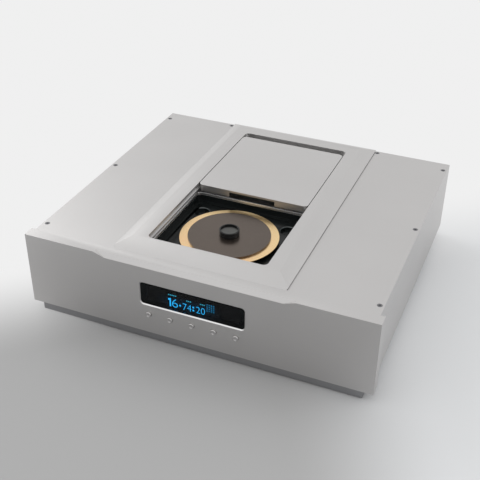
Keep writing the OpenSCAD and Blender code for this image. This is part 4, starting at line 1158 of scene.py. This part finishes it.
def floor(stage):
    """A floor with painted shade, darker just in front on the left, that runs into the backdrop behind."""
    mesh = bpy.data.meshes.new("floor")
    corners = [(-1, -1), (1, -1), (1, 1), (-1, 1)]
    mesh.from_pydata([(x * FLOOR_HALF, y * FLOOR_HALF, 0.0) for x, y in corners], [], [(0, 1, 2, 3)])
    made = new_object("floor", mesh)
    material, shader, place = new_finish("floor_paint", Roughness=0.9, Specular_IOR_Level=0.1)
    east, north, _ = place.split()
    # Painted shade: the floor darkens near the case at the front left
    right = (east + north * FLOOR_SLANT).step(*FLOOR_SPREAD)
    away = (east * east + north * north).power(0.5).step(*FLOOR_REACH)
    light = 1.0 - (1.0 - right) * (1.0 - away)
    light.blend(rgba(stage.floor_shade_colour), rgba(stage.floor_light)).into(shader.inputs["Base Color"])
    behind = (east - HORIZON_POINT[0]) * HORIZON_SIDE[0] + (north - HORIZON_POINT[1]) * HORIZON_SIDE[1]
    far = behind.step(*HORIZON_BLEND) * pale_rays(place.tree)
    glow = place.node("ShaderNodeEmission", {"Color": rgba((stage.backdrop,) * 3), "Strength": 1.0})
    end = next(node for node in place.tree.nodes if node.type == "OUTPUT_MATERIAL")
    mixed = place.node("ShaderNodeMixShader", {0: far, 1: Wire(place.tree, shader.outputs[0]), 2: glow})
    mixed.into(end.inputs["Surface"])
    mesh.materials.append(material)


def sky(stage):
    """Even light from all round, of the backdrop's brightness."""
    world = bpy.data.worlds.new("studio")
    bpy.context.scene.world = world
    world.use_nodes = True
    background = next(node for node in world.node_tree.nodes if node.type == "BACKGROUND")
    background.inputs["Color"].default_value = rgba((stage.backdrop,) * 3)
    background.inputs["Strength"].default_value = 1.0


def softbox(name, location, side, power):
    """A large square soft lamp aimed at the case."""
    lamp = bpy.data.lights.new(name, "AREA")
    lamp.shape = "SQUARE"
    lamp.size = side
    lamp.energy = power
    made = new_object(name, lamp)
    made.location = location
    made.rotation_euler = (LAMP_AIM - Vector(location)).to_track_quat("-Z", "Y").to_euler()


def camera(stage):
    """The camera at the photograph's place."""
    azimuth, elevation, roll = stage.azimuth, stage.elevation, stage.roll
    back = Vector((math.sin(azimuth) * math.cos(elevation), -math.cos(azimuth) * math.cos(elevation),
                   math.sin(elevation)))
    right = Vector((math.cos(azimuth), math.sin(azimuth), 0.0))
    up = back.cross(right)
    turned_right = math.cos(roll) * right + math.sin(roll) * up
    turned_up = math.cos(roll) * up - math.sin(roll) * right
    lens = bpy.data.cameras.new("camera")
    lens.sensor_width = SENSOR_WIDTH
    lens.lens = stage.lens
    lens.clip_start = NEAREST_SEEN
    made = new_object("camera", lens)
    turn = Matrix((turned_right, turned_up, back)).transposed().to_4x4()
    made.matrix_world = Matrix.Translation(Vector(stage.aim) + back * stage.distance) @ turn
    bpy.context.scene.camera = made


# Panel and registration

PIECES = (TRANSPORT_OT_case, TRANSPORT_OT_screws, TRANSPORT_OT_lid, TRANSPORT_OT_well, TRANSPORT_OT_disc,
          TRANSPORT_OT_display, TRANSPORT_OT_buttons, TRANSPORT_OT_sockets, TRANSPORT_OT_inside,
          TRANSPORT_OT_stage)
SETTINGS = {"transport_case": CaseSettings, "transport_disc": DiscSettings,
            "transport_display": DisplaySettings, "transport_stage": StageSettings}


class TRANSPORT_PT_panel(bpy.types.Panel):
    """Pieces and settings of the disc transport"""

    bl_idname = "TRANSPORT_PT_panel"
    bl_label = "Disc transport"
    bl_space_type = "VIEW_3D"
    bl_region_type = "UI"
    bl_category = "Transport"

    def draw(self, context):
        for piece in PIECES:
            self.layout.operator(piece.bl_idname)
        for name, group in SETTINGS.items():
            box = self.layout.box()
            for setting in group.__annotations__:
                box.prop(getattr(context.scene, name), setting)


CLASSES = (*SETTINGS.values(), *PIECES, TRANSPORT_PT_panel)


def register():
    """Registers the classes and puts the settings on the scene."""
    for kind in CLASSES:
        bpy.utils.register_class(kind)
    for name, group in SETTINGS.items():
        setattr(bpy.types.Scene, name, bpy.props.PointerProperty(type=group))


def unregister():
    """Takes the settings and the classes away again."""
    for name in SETTINGS:
        delattr(bpy.types.Scene, name)
    for kind in reversed(CLASSES):
        bpy.utils.unregister_class(kind)


def main():
    """Dresses the transport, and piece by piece."""
    register()
    for piece in PIECES:
        group, name = piece.bl_idname.split(".")
        getattr(getattr(bpy.ops, group), name)()


if __name__ == "__main__":
    main()
